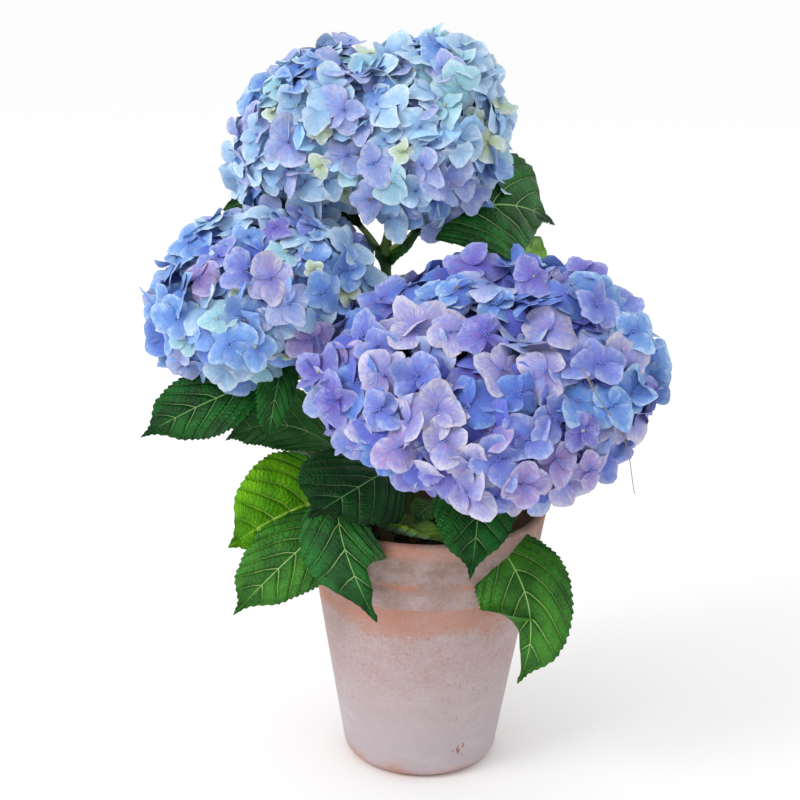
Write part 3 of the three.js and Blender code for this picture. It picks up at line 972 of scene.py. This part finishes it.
# Each bloom: its dome and which way that leans, how far apart, how big and how deep its florets
# are, and its tints, with how common each is and the side of the dome that it favours. A dent is
# a place where the dome is lower, or higher if its depth is negative: azimuth, elevation, depth.
# The florets that stand out are listed one by one: azimuth, elevation, diameter, spin and tint.
bloomPlans = {
    "right": {
        "node": "head_right", "slot": "flower_violet",
        "middle": (41, -92, 318), "across": 116, "deep": 103,
        "above": 66, "below": 60, "lean": 32, "towards": 262, "seed": 1,
        "gap": 19, "size": (33, 43), "sink": (7, 15), "crumple": 1.0,
        "hub": (38, -78, 296), "deepTint": "deepViolet",
        "dents": [(-147, -12, 10), (-178, 6, -7), (0, 2, 3), (-3, 24, 1), (-37, -17, 14), (35, 45, -6),
                  (-55, -44, -7), (-105, -38, 10)],
        "tints": {
            "periwinkle": (3.2, (0.2, 0, 0.3)), "violet": (3.0, (-0.3, -0.4, -0.3)),
            "paleLavender": (1.7, (-0.2, -1.2, 0.2)), "pinkLavender": (0.7, (-0.6, -0.6, -0.8)),
            "skyBlue": (1.6, (0.9, 0.4, 0.5)), "midBlue": (1.4, (-0.2, 0.5, 0.5)),
            "lavenderBlue": (1.6, (0, -0.4, 0.4)),
        },
        "set": [
            (180, 64, 42, 40, "paleLavender"), (-160, 75, 36, 15, "paleLavender"),
            (-105, 81, 39, 10, "violet"), (-15, 70, 42, 50, "paleLavender"),
            (-118, 46, 38, 70, "paleLavender"), (-110, 34, 35, 5, "paleLavender"),
            (-126, 24, 35, 25, "pinkLavender"), (-78, 34, 36, 45, "periwinkle"),
            (-41, 33, 32, 40, "skyBlue"), (-70, 19, 36, 30, "pinkLavender"),
            (-83, 12, 34, 10, "pinkLavender"), (-56, 60, 38, 80, "paleLavender"),
            (-77, 54, 29, 45, "midBlue"), (-28, 49, 35, 15, "periwinkle"), (0, 40, 31, 30, "skyBlue"),
            (10, 55, 33, 60, "periwinkle"), (43, 43, 31, 20, "violet"), (98, 56, 44, 0, "violet"),
            (80, 82, 30, 40, "skyBlue"), (122, 70, 30, 10, "midBlue"), (-174, 49, 32, 30, "periwinkle"),
            (-141, 36, 32, 50, "periwinkle"), (-163, 18, 32, 10, "violet"),
            (-90, 26, 31, 20, "periwinkle"), (-57, 30, 28, 45, "violet"),
            (-58, 0, 30, 20, "pinkLavender"), (53, 66, 31, 45, "violet"), (142, 63, 34, 10, "skyBlue"),
            (127, 71, 30, 50, "skyBlue"), (-139, 55, 34, 70, "periwinkle"),
            (-47, -16, 34, 20, "periwinkle"),
        ],
    },
    "left": {
        "node": "head_left", "slot": "flower_blue",
        "middle": (-118, -18, 351), "across": 85, "deep": 69,
        "above": 68, "below": 56, "lean": 20, "towards": 217, "seed": 2,
        "gap": 16, "size": (29, 39), "sink": (6, 13), "crumple": 0.95,
        "hub": (-112, -16, 334), "deepTint": "deepBlue",
        "dents": [(165, 58, -6), (180, 38, 6), (-162, -8, 3), (-131, -36, 6)],
        "tints": {
            "skyBlue": (3.4, (-0.4, -0.2, -0.2)), "periwinkle": (1.7, (0.4, 0, -0.2)),
            "paleSky": (2.5, (0.1, -0.3, 0.3)), "lavenderBlue": (2.0, (-0.2, -0.6, 0.2)),
            "creamGreen": (0.25, (0.5, -0.8, 0)), "teal": (0.7, (0, -0.6, -0.4)),
            "midBlue": (0.8, (-1.6, 0.2, -0.2)), "paleLavender": (0.4, (0, -0.2, 0)),
        },
        "set": [
            (-119, 46, 32, 45, "pinkLavender"), (-72, 36, 38, 25, "paleLavender"),
            (-48, 15, 34, 45, "skyBlue"), (-40, 33, 34, 10, "skyBlue"), (-32, 4, 19, 0, "creamGreen"),
            (-94, 33, 12, 20, "creamGreen"), (-46, 30, 15, 45, "creamGreen"),
            (-68, 17, 34, 40, "lavenderBlue"), (-102, 4, 35, 30, "skyBlue"), (-105, 20, 26, 10, "teal"),
            (-69, 72, 32, 30, "skyBlue"), (-144, 33, 29, 45, "skyBlue"), (-91, -3, 29, 0, "skyBlue"),
            (-127, 9, 25, 20, "teal"), (-29, 67, 24, 60, "violet"), (-26, 18, 29, 10, "skyBlue"),
            (-63, -16, 31, 30, "pinkLavender"), (-170, 65, 32, 30, "skyBlue"),
            (-140, -22, 30, 15, "lavenderBlue"), (-114, -50, 33, 60, "skyBlue"),
            (-172, 19, 29, 30, "skyBlue"),
        ],
    },
    "topRight": {
        **topLobe, "node": "head_top_right", "hub": (-20, 16, 424),
        "middle": (-7, 16, 460), "across": 63, "deep": 62,
        "above": 80, "below": 62, "lean": 12, "towards": 28, "seed": 3,
        "dents": [(0, 12, 7), (180, 40, -5), (120, 80, 3), (-126, -45, -9)],
        "tints": {
            "paleSky": (5.0, (0, 0, 0)), "skyBlue": (1.6, (0.3, 0.2, -0.5)),
            "teal": (0.8, (-0.5, -0.2, 0.9)), "creamGreen": (0.15, (0.3, -0.4, 0.4)),
            "lavenderBlue": (1.4, (-0.2, -0.3, -1.0)),
        },
        "set": [
            (-122, -18, 31, 20, "lavenderBlue"), (-104, -7, 17, 0, "creamGreen"),
            (-96, 8, 30, 45, "paleSky"), (-73, -19, 36, 30, "lavenderBlue"),
            (-54, 19, 17, 20, "creamGreen"), (-114, 40, 29, 45, "teal"), (-56, 41, 30, 10, "paleSky"),
            (-100, 62, 28, 70, "skyBlue"), (-53, 0, 30, 30, "skyBlue"),
            (-126, -41, 31, 10, "lavenderBlue"), (-90, -31, 27, 45, "paleSky"),
            (-40, -28, 28, 20, "lavenderBlue"),
        ],
    },
    "topLeft": {
        **topLobe, "node": "head_top_left", "hub": (-24, 16, 420),
        "middle": (-63, 28, 452), "across": 81, "deep": 60,
        "above": 80, "below": 44, "lean": 14, "towards": 174, "seed": 4,
        "dents": [(0, 50, -5), (178, 52, 5)],
        "tints": {
            "paleSky": (5.0, (-0.2, 0, 0)), "skyBlue": (1.3, (-0.2, 0.2, -0.2)),
            "teal": (0.6, (-0.5, 0, 0.5)), "creamGreen": (0.2, (0.2, -0.8, -0.1)),
            "lavenderBlue": (1.6, (0.1, -0.8, -0.2)),
        },
        "set": [
            (-116, 14, 35, 20, "lavenderBlue"), (-83, 23, 35, 60, "lavenderBlue"),
            (-97, 16, 17, 0, "creamGreen"), (-101, -2, 18, 30, "creamGreen"),
            (-129, 32, 13, 10, "creamGreen"), (-100, -22, 25, 45, "paleSky"),
            (-134, -2, 31, 30, "paleSky"), (-110, 33, 30, 45, "paleSky"), (-96, 52, 27, 10, "skyBlue"),
        ],
    },
}
bloomLook = {
    "bump": 0.035,  # how far a dome swells and dips, as a share of its radius
    "lump": 4.0, "lumps": 32,  # how far florets stand in and out, and how finely that changes
    "tries": 6000,  # directions tried for a place
    "wider": 0.35,  # how much further apart florets are under the dome
    "outward": (0.75, 0.35), "tilt": 0.38,  # shares of square to the dome and away from the hub
    "setOutward": (0.6, 0.6, 0.14),  # for florets listed one by one: square to the dome, to the front, and tilt
    "setSink": (4.5, 8.0),  # how far under the dome the eye of a listed floret lies
    "deepLayer": 7.0, "deepGap": 1.1, "deepShare": 0.75,
    "favour": 1.2,  # how strongly a tint keeps to its side
    "under": (-0.3, 0.92),  # from how far down florets are smaller, and how much
    "clear": 0.93,  # florets within this share of another bloom's dome are left out
    "lift": 0.18,  # how far florets turn up to the light
    "dentSpread": 0.12,
    "front": (0, -0.93, 0.37),
    "turn": (0.5, 0.15, 0.4),  # how far florets at the dome's edge turn to the front, and which ones
    "small": {"creamGreen": 0.74, "teal": 0.9},
}
# Each tint's middle, edge, heart and veins. The heart's stronger blue is partly the petal's own colour and
# partly painted shade near the floret's middle.
tints = {
    "periwinkle": ("788dd0", "aab4dc", "4a66cc", "7069b6"),
    "violet": ("767ec6", "9ea6d6", "4e5ac4", "7656ac"),
    "paleLavender": ("a2a8d4", "cccad8", "7080d0", "957abc"),
    "pinkLavender": ("9c95ca", "bab8d8", "6f78ca", "9568a8"),
    "lavenderBlue": ("98abd8", "b8c2e0", "6a8ed6", "8884c0"),
    "skyBlue": ("769fd8", "a8c6e4", "447ed4", "6c84ca"),
    "midBlue": ("587ccb", "86a6da", "3a60c6", "5c62b6"),
    "paleSky": ("a8cae6", "ccdeec", "7cb0de", "8eaad4"),
    "teal": ("a0cadc", "c2dce4", "8ac4d4", "88b6cc"),
    "creamGreen": ("c2d6cc", "dce6e4", "c2d49c", "a8c0a4"),
    # The deep tints are for florets under the outer ones. Their strong, bright blues are painted light:
    # light shining through the petals into the shade between florets.
    "deepViolet": ("606ecc", "7380d4", "4c5cc6", "5854b2"),
    "deepBlue": ("84acf0", "98bcf6", "6c98ea", "748ad6"),
    "deepSky": ("a6d4fa", "b6dcfa", "8cc0f4", "94b4e6"),
}
petalLook = {
    "outerGrid": (16, 4), "deepGrid": (9, 3), "relief": 0.0003,
    "tiles": 6, "variants": 3,  # the map is tiles by tiles, with this many tiles for each tint
    "map": (0.92, 0.04),  # how large a petal is on its tile, and where its foot lies
    "broad": (1.0, 1.36), "point": (-0.05, 0.26), "square": (0.0, 0.13), "skew": (-0.16, 0.16),
    "ragged": (0.0, 0.04),
    "halfFan": 87,  # degrees from a petal's middle line to its side
    "length": (0.84, 1.12),
    "stray": 6, "layer": 0.45,  # degrees off its place in the ring, and how far above or below it
    "pitch": (-0.30, 0.34), "bend": (-1.3, 0.7), "fold": (-1.3, 1.3), "crease": (-0.5, 0.32),
    "wave": (0.02, 0.08), "twist": (-0.34, 0.34), "roll": (3, 13),
    "fives": 0.05,
}


def petalPatternGroup():
    takes = {"Map": "v", "Middle": "c", "Edge": "c", "Heart": "c", "Veins": "c"}
    tree, given, result = newGroup("petalPattern", takes, {"Colour": "c", "Height": "f"})
    big = scaled(given["Map"], petalLook["tiles"])
    tileX, tileY, _ = split(vectorMaths("FLOOR", big)[0])
    which = plus(times(tileX, 3.7), times(tileY, 9.1))  # a number of its own for each tile
    u, v, _ = split(vectorMaths("FRACTION", big)[0])
    wide, foot = petalLook["map"]
    x = maths("DIVIDE", minus(u, 0.5), wide)
    y = maths("DIVIDE", minus(v, foot), wide)
    reach = distance(x, y)
    turn = maths("ARCTAN2", x, y)

    def fanned(spokes, rings, detail):
        return cloud(combined(times(turn, spokes), times(reach, rings), which), 1.0, detail, 0.6)

    fan, fine = fanned(6.0, 1.6, 3.0), fanned(24.0, 3.0, 2.0)
    patch = cloud(combined(times(x, 3.2), times(y, 3.2), which), 1.0, 3.0)
    out = times(distance(x, minus(y, 0.5)), 2.0)
    colour = mixed(ramp(plus(out, swing(patch, 1.6)), 0.35, 1.05), given["Middle"], given["Edge"])
    # Towards its foot a petal takes the heart's blue: partly its own colour and partly painted shade near
    # the floret's middle.
    near = plus(reach, swing(fan, 0.7))
    colour = mixed(ramp(near, 0.05, 0.62, 0.95, 0.0), colour, given["Heart"])
    streak = times(ramp(fan, 0.48, 0.60), ramp(reach, 0.05, 1.0, 0.85, 0.12))
    colour = mixed(streak, colour, given["Veins"])
    lines = times(ramp(fine, 0.48, 0.58), ramp(reach, 0.1, 1.0, 0.6, 0.30))
    colour = mixed(lines, colour, given["Veins"])
    blue = times(ramp(cloud(combined(x, y, which), 4.5, 2.0), 0.50, 0.66), 0.45)
    feed(result["Colour"], mixed(blue, colour, given["Heart"]))
    feed(result["Height"], plus(fine, times(fan, 1.5)))
    return tree


def petalMaterials():
    group = petalPatternGroup()
    made = {}
    for tint, codes in tints.items():
        material, tree, shader = newMaterial(tint + "Petal", 0.65)
        shader["Sheen Weight"].default_value = 0.1
        shader["Specular IOR Level"].default_value = 0.3
        colours = dict(zip(("Middle", "Edge", "Heart", "Veins"), map(hexColour, codes)))
        drawn = useGroup(tree, group, Map=ownMap(tree), **colours)
        feed(shader["Base Color"], drawn["Colour"])
        addBump(tree, shader, drawn["Height"], petalLook["relief"])
        made[tint] = material
    return made


petalFinish = petalMaterials()


def wayTo(azimuth, elevation):
    a, e = math.radians(azimuth), math.radians(elevation)
    return np.array([math.cos(e) * math.cos(a), math.cos(e) * math.sin(a), math.sin(e)])


def leaning(plan):
    axis = Vector(np.cross((0, 0, 1), wayTo(plan["towards"], 0)))
    return np.array(Matrix.Rotation(math.radians(plan["lean"]), 3, axis))


def swell(ways, seed):
    x, y, z = ways.T
    return (np.sin(3.1 * x + 1.7 * seed) * np.cos(2.9 * y - 2.3 * seed)
            + 0.6 * np.sin(5.3 * z + 4.1 * x + seed)
            + 0.5 * np.sin(6.7 * y - 3.7 * z + 2.1 * seed))


def halfSizes(plan, upright):
    level = np.full(len(upright), 1.0)
    return np.column_stack([plan["across"] * level, plan["deep"] * level,
                            np.where(upright > 0, plan["above"], plan["below"])]) * mm


# Points of a bloom's dome in these directions, and which way its surface faces there.
def onDome(plan, ways):
    turned = leaning(plan)
    grown = 1 + bloomLook["bump"] * swell(ways, plan["seed"])[:, None]
    radii = halfSizes(plan, ways[:, 2])
    places = (ways * radii * grown) @ turned.T + np.array(plan["middle"]) * mm
    return places, unit(ways / radii) @ turned.T


# Share of the way from a dome's middle to its surface.
def depthIn(plan, places):
    own = (places - np.array(plan["middle"]) * mm) @ leaning(plan)
    return np.linalg.norm(own / halfSizes(plan, own[:, 2]), axis=1)


# Directions spaced about evenly over the dome, in a seeded random order, after those given.
def spacedWays(plan, rng, gap, taken):
    ways = np.concatenate([taken, unit(rng.normal(size=(bloomLook["tries"], 3)))])
    places = onDome(plan, ways)[0]
    kept = list(range(len(taken)))
    for i in range(len(taken), len(ways)):
        apart = gap * mm * (1 + bloomLook["wider"] * max(0, -ways[i, 2]))
        if not kept or np.linalg.norm(places[kept] - places[i], axis=1).min() > apart:
            kept.append(i)
    return ways[kept]


def growFlorets(plan):
    look = bloomLook
    rng = np.random.default_rng(40 + plan["seed"])
    heroes = plan["set"]
    heroWays = np.array([wayTo(azimuth, elevation) for azimuth, elevation, *_ in heroes])
    outerWays = spacedWays(plan, rng, plan["gap"], heroWays)
    deepWays = spacedWays(plan, rng, plan["gap"] * look["deepGap"], np.zeros((0, 3)))
    ways = np.concatenate([outerWays, deepWays])
    count, outer = len(ways), len(outerWays)
    number = np.arange(count)
    isHero, isDeep = number < len(heroes), number >= outer
    places, normals = onDome(plan, ways)

    outward = unit(places - np.array(plan["hub"]) * mm)
    front, upward = np.array(look["front"]), np.array((0, 0, look["lift"]))
    amount, centre, spread = look["turn"]
    edge = amount * np.exp(-((normals @ front - centre) / spread) ** 2)
    square, away = look["outward"]
    facing = square * normals + away * outward + upward + edge[:, None] * front
    facing = unit(facing + look["tilt"] * rng.normal(size=(count, 3)))
    square, forward, tilt = look["setOutward"]
    turned = unit(square * normals + forward * front + tilt * rng.normal(size=(count, 3)))
    facing[isHero] = turned[isHero]
    sink = rng.uniform(*plan["sink"], count) + look["deepLayer"] * isDeep
    sink = np.where(isHero, rng.uniform(*look["setSink"], count), sink)
    for azimuth, elevation, depth in plan["dents"]:
        sink += depth * np.exp(-((1 - ways @ wayTo(azimuth, elevation)) / look["dentSpread"]))
    lumps = np.array([noise.noise(Vector(place) * look["lumps"]) for place in places]) * look["lump"]
    places = places - normals * ((sink - lumps) * mm)[:, None]

    # Some tints are only for listed florets.
    names = list(dict.fromkeys([*plan["tints"], plan["deepTint"], "violet", "pinkLavender"]))
    common = [plan["tints"].get(name, (0, (0, 0, 0))) for name in names]
    weights = [amount * np.exp(look["favour"] * ways @ np.array(side)) for amount, side in common]
    weights = np.array(weights).T
    shares = np.cumsum(weights, axis=1) / weights.sum(axis=1)[:, None]
    chosen = (shares > rng.uniform(size=count)[:, None]).argmax(axis=1)
    chosen[isDeep & (rng.uniform(size=count) < look["deepShare"])] = names.index(plan["deepTint"])
    chosen[isHero] = [names.index(tint) for *_, tint in heroes]

    below, smaller = look["under"]
    sizes = rng.uniform(*plan["size"], count) * np.where(ways[:, 2] < below, smaller, 1.0)
    sizes *= np.array([look["small"].get(name, 1.0) for name in names])[chosen]
    sizes[isHero] = [diameter for _, _, diameter, _, _ in heroes]
    spins = rng.uniform(0, 360, count)
    spins[isHero] = [spin for _, _, _, spin, _ in heroes]

    others = [p for p in bloomPlans.values() if p is not plan]
    clear = isHero | np.all([depthIn(p, places) > look["clear"] for p in others], axis=0)
    made = {"places": places, "facing": facing, "sizes": sizes * mm, "spins": np.radians(spins),
            "tint": chosen, "deep": isDeep}
    made = {key: value[clear] for key, value in made.items()}
    upright = (0.05, 0.2, 1.0)
    made["side"] = unit(np.cross(upright, made["facing"]))
    made["other"] = np.cross(made["facing"], made["side"])
    return {**made, "names": names, "rng": rng}


# A flat petal of length 1, from its narrow foot at the origin.
def petalPattern(columns, rows):
    bm = bmesh.new()
    bmesh.ops.create_grid(bm, x_segments=columns, y_segments=rows, size=1)
    for v in bm.verts:
        turn, reach = v.co.x * math.radians(petalLook["halfFan"]), (v.co.y + 1) / 2
        v.co = (math.sin(turn) * math.cos(turn) * reach, math.cos(turn) ** 2 * reach, 0)
    bmesh.ops.remove_doubles(bm, verts=bm.verts, dist=0.004)
    return patternOf(bm)


petalPatterns = [petalPattern(*petalLook[key]) for key in ("outerGrid", "deepGrid")]


# The petals of some florets, as one batch that lays the same small pattern many times.
def petalBatch(plan, florets, pattern):
    look, rng = petalLook, florets["rng"]
    petalPoints, petalCorners, petalSizes = pattern
    count = len(florets["places"])
    petals = np.where(rng.uniform(size=count) < look["fives"], 5, 4)
    owner = np.repeat(np.arange(count), petals)
    order = np.concatenate([np.arange(n) for n in petals])
    many = len(owner)

    # Part of each measure belongs to the floret and the rest to the petal.
    def vary(key, own=1.0, scale=1.0):
        low, high = look[key]
        shared, single = rng.uniform(low, high, count)[owner], rng.uniform(low, high, many)
        return scale * ((1 - own) * shared + own * single)[:, None]

    crumple = plan["crumple"]
    x, y = petalPoints[:, 0], petalPoints[:, 1]
    reach = np.hypot(x, y)
    turn = np.arctan2(x, y + 1e-6)
    length = (florets["sizes"][owner] / 2 * rng.uniform(*look["length"], many))[:, None]
    phase = rng.uniform(0, 6.28, (many, 3))
    outline = (1 + vary("point") * np.exp(-(turn / 0.3) ** 2)
               - vary("square") * np.exp(-((np.abs(turn) - 0.5) / 0.24) ** 2)
               + vary("ragged") * np.sin(9 * turn + phase[:, :1]))
    wide, tall = x * vary("broad") * outline, y * outline
    wide = wide + vary("skew") * tall ** 2
    forward, lift = arched(tall, vary("bend", 0.55, crumple))
    aside, droop = arched(wide, vary("fold", 0.7, crumple) * (0.4 + tall))
    rise = lift + droop + vary("crease", 0.8) * np.abs(wide) + vary("twist") * wide * tall * 2
    wave = vary("wave", 1.0, crumple)
    rise = rise + wave * (np.sin(8 * turn + phase[:, 1:2]) * reach ** 3
                          + 0.6 * np.sin(11 * tall + phase[:, 2:]) * np.abs(wide) * 2)
    pitch = vary("pitch", 0.7, crumple)
    forward, rise = rotated(forward, rise, pitch)

    # Each petal rolls a little about its own length, and every second one lies on top.
    over = np.where(order % 2 == 0, 1, -1)[:, None]
    roll = np.radians(rng.uniform(*look["roll"], many))[:, None] * over
    aside, rise = rotated(aside, rise, roll)
    lx, ly, lz = aside * length, forward * length, rise * length + look["layer"] * mm * over
    spin = florets["spins"][owner] + order * 2 * math.pi / petals[owner]
    spin = spin + np.radians(rng.normal(0, look["stray"], many))
    lx, ly = rotated(lx, ly, spin[:, None])
    axes = [florets[k][owner][:, None] for k in ("side", "other", "facing")]
    offset = sum(part[..., None] * axis for part, axis in zip((lx, ly, lz), axes))
    places = florets["places"][owner][:, None] + offset

    tile = florets["tint"][owner] * look["variants"] + rng.integers(0, look["variants"], many)
    broad, foot = look["map"]
    chart = np.stack([0.5 + broad * x, foot + broad * y], -1)[petalCorners]
    corner = np.stack([tile % look["tiles"], tile // look["tiles"]], -1)[:, None]
    chart = (chart[None] + corner) / look["tiles"]
    return places, petalCorners, petalSizes, florets["tint"][owner], chart


def makePetals(name, plan, florets):
    batches = []
    for pattern, layer in zip(petalPatterns, (~florets["deep"], florets["deep"])):
        some = {k: v[layer] if isinstance(v, np.ndarray) else v for k, v in florets.items()}
        batches.append(petalBatch(plan, some, pattern))
    mesh = joinedMesh(name + "Petals", batches, [petalFinish[n] for n in florets["names"]])
    addPiece(name + "Petals", mesh, plan["slot"], plan["node"])


eyeLook = {
    "bead": (0.9, 1.4), "raised": 1.0,
    "common": (0.86, 0.08, 0.06),  # how common blue, cream and brown beads are
    "stamens": 5, "dot": 0.34, "away": (1.5, 2.3),  # the dot's radius, and how far out it stands
    "finishes": {
        "blueEye": ("5368b4", 0.35), "creamEye": ("9aa58c", 0.4), "brownEye": ("7c6258", 0.5),
        "paleStamen": ("a4b0dc", 0.4),
    },
}
eyeFinish = [plainMaterial(name, *finish) for name, finish in eyeLook["finishes"].items()]


# A bead in the middle of each outer floret, with a ring of tiny stamens.
def makeEyes(name, plan, florets):
    look, rng = eyeLook, florets["rng"]
    bead, dot = bmesh.new(), bmesh.new()
    bmesh.ops.create_icosphere(bead, subdivisions=2, radius=1.0)
    bmesh.ops.create_icosphere(dot, subdivisions=1, radius=1.0)
    beadPoints, beadCorners, beadSizes = patternOf(bead)
    dotPoints, dotCorners, dotSizes = patternOf(dot)
    shown = ~florets["deep"]
    places, facing, side, other = (florets[k][shown] for k in ("places", "facing", "side", "other"))
    count = len(places)
    radius = (rng.uniform(*look["bead"], count) * mm)[:, None, None]
    beads = places[:, None] + beadPoints * radius + facing[:, None] * look["raised"] * mm
    kinds = rng.choice(3, count, p=look["common"])
    greenish = [florets["names"].index(name) for name in ("creamGreen", "teal") if name in florets["names"]]
    kinds[np.isin(florets["tint"][shown], greenish)] = 1
    stamens = []
    for i in range(look["stamens"]):
        turn = (2 * math.pi * i / look["stamens"] + rng.uniform(-0.4, 0.4, count))[:, None]
        away, rise = rng.uniform(*look["away"], (2, count, 1)) * mm
        at = places + (side * np.cos(turn) + other * np.sin(turn)) * away + facing * rise * 0.8
        stamens.append(at[:, None] + dotPoints * look["dot"] * mm)
    stamens = np.concatenate(stamens)
    mesh = joinedMesh(name + "Eyes", [
        (beads, beadCorners, beadSizes, kinds, None),
        (stamens, dotCorners, dotSizes, np.full(len(stamens), 3), None),
    ], eyeFinish)
    addPiece(name + "Eyes", mesh, plan["slot"])


rayLook = {
    "large": (26, 0.34), "small": (7, 0.62),  # florets to a fork, and how far out from the hub it is
    "limb": (1.7, 1.3, 0, 6), "twig": (1.2, 0.8, 0, 5), "stalk": (0.7, 0.5, 1, 4),
    "under": 0.8,  # how far behind a floret's middle its stalk ends
    "finishes": {"paleRay": ("7f906a", 0.6), "blueRay": ("6870a8", 0.6)},
}
rayFinish = [plainMaterial(name, *finish) for name, finish in rayLook["finishes"].items()]


# Tapered limbs between pairs of points, as one batch: thick and thin radius, finish and sides.
def limbBatch(starts, ends, thick, thin, slot, sides):
    limb = bmesh.new()
    bmesh.ops.create_cone(limb, cap_ends=True, segments=sides, radius1=1, radius2=1, depth=1)
    points, corners, sizes = patternOf(limb)
    ahead = ends - starts
    side = unit(np.cross(ahead, (0.31, 0.77, 0.55)))
    up = unit(np.cross(ahead, side))
    along = points[:, 2:] + 0.5
    radius = (thick + (thin - thick) * along) * mm
    places = (starts[:, None] + ahead[:, None] * along
              + side[:, None] * points[:, :1] * radius + up[:, None] * points[:, 1:2] * radius)
    return places, corners, sizes, np.full(len(starts), slot), None


# The branching under a bloom: rays from the stem's end to forks, from forks to smaller forks,
# and a thin stalk from there to each floret.
def makeRays(name, plan, florets):
    look, hub = rayLook, np.array(plan["hub"]) * mm
    tips = florets["places"] - florets["facing"] * look["under"] * mm
    pick = florets["rng"].permutation(len(tips))

    def forks(every, reach):
        return hub + (tips[pick[::every]] - hub) * reach

    def nearest(places, among):
        return among[np.linalg.norm(places[:, None] - among[None], axis=2).argmin(axis=1)]

    small, large = forks(*look["small"]), forks(*look["large"])
    batches = [
        limbBatch(np.repeat(hub[None], len(large), 0), large, *look["limb"]),
        limbBatch(nearest(small, large), small, *look["twig"]),
        limbBatch(nearest(tips, small), tips, *look["stalk"]),
    ]
    addPiece(name + "Rays", joinedMesh(name + "Rays", batches, rayFinish), "stem")


for name, plan in bloomPlans.items():
    florets = growFlorets(plan)
    makePetals(name, plan, florets)
    makeEyes(name, plan, florets)
    makeRays(name, plan, florets)
    print(name, "bloom opened with", len(florets["places"]), "florets")
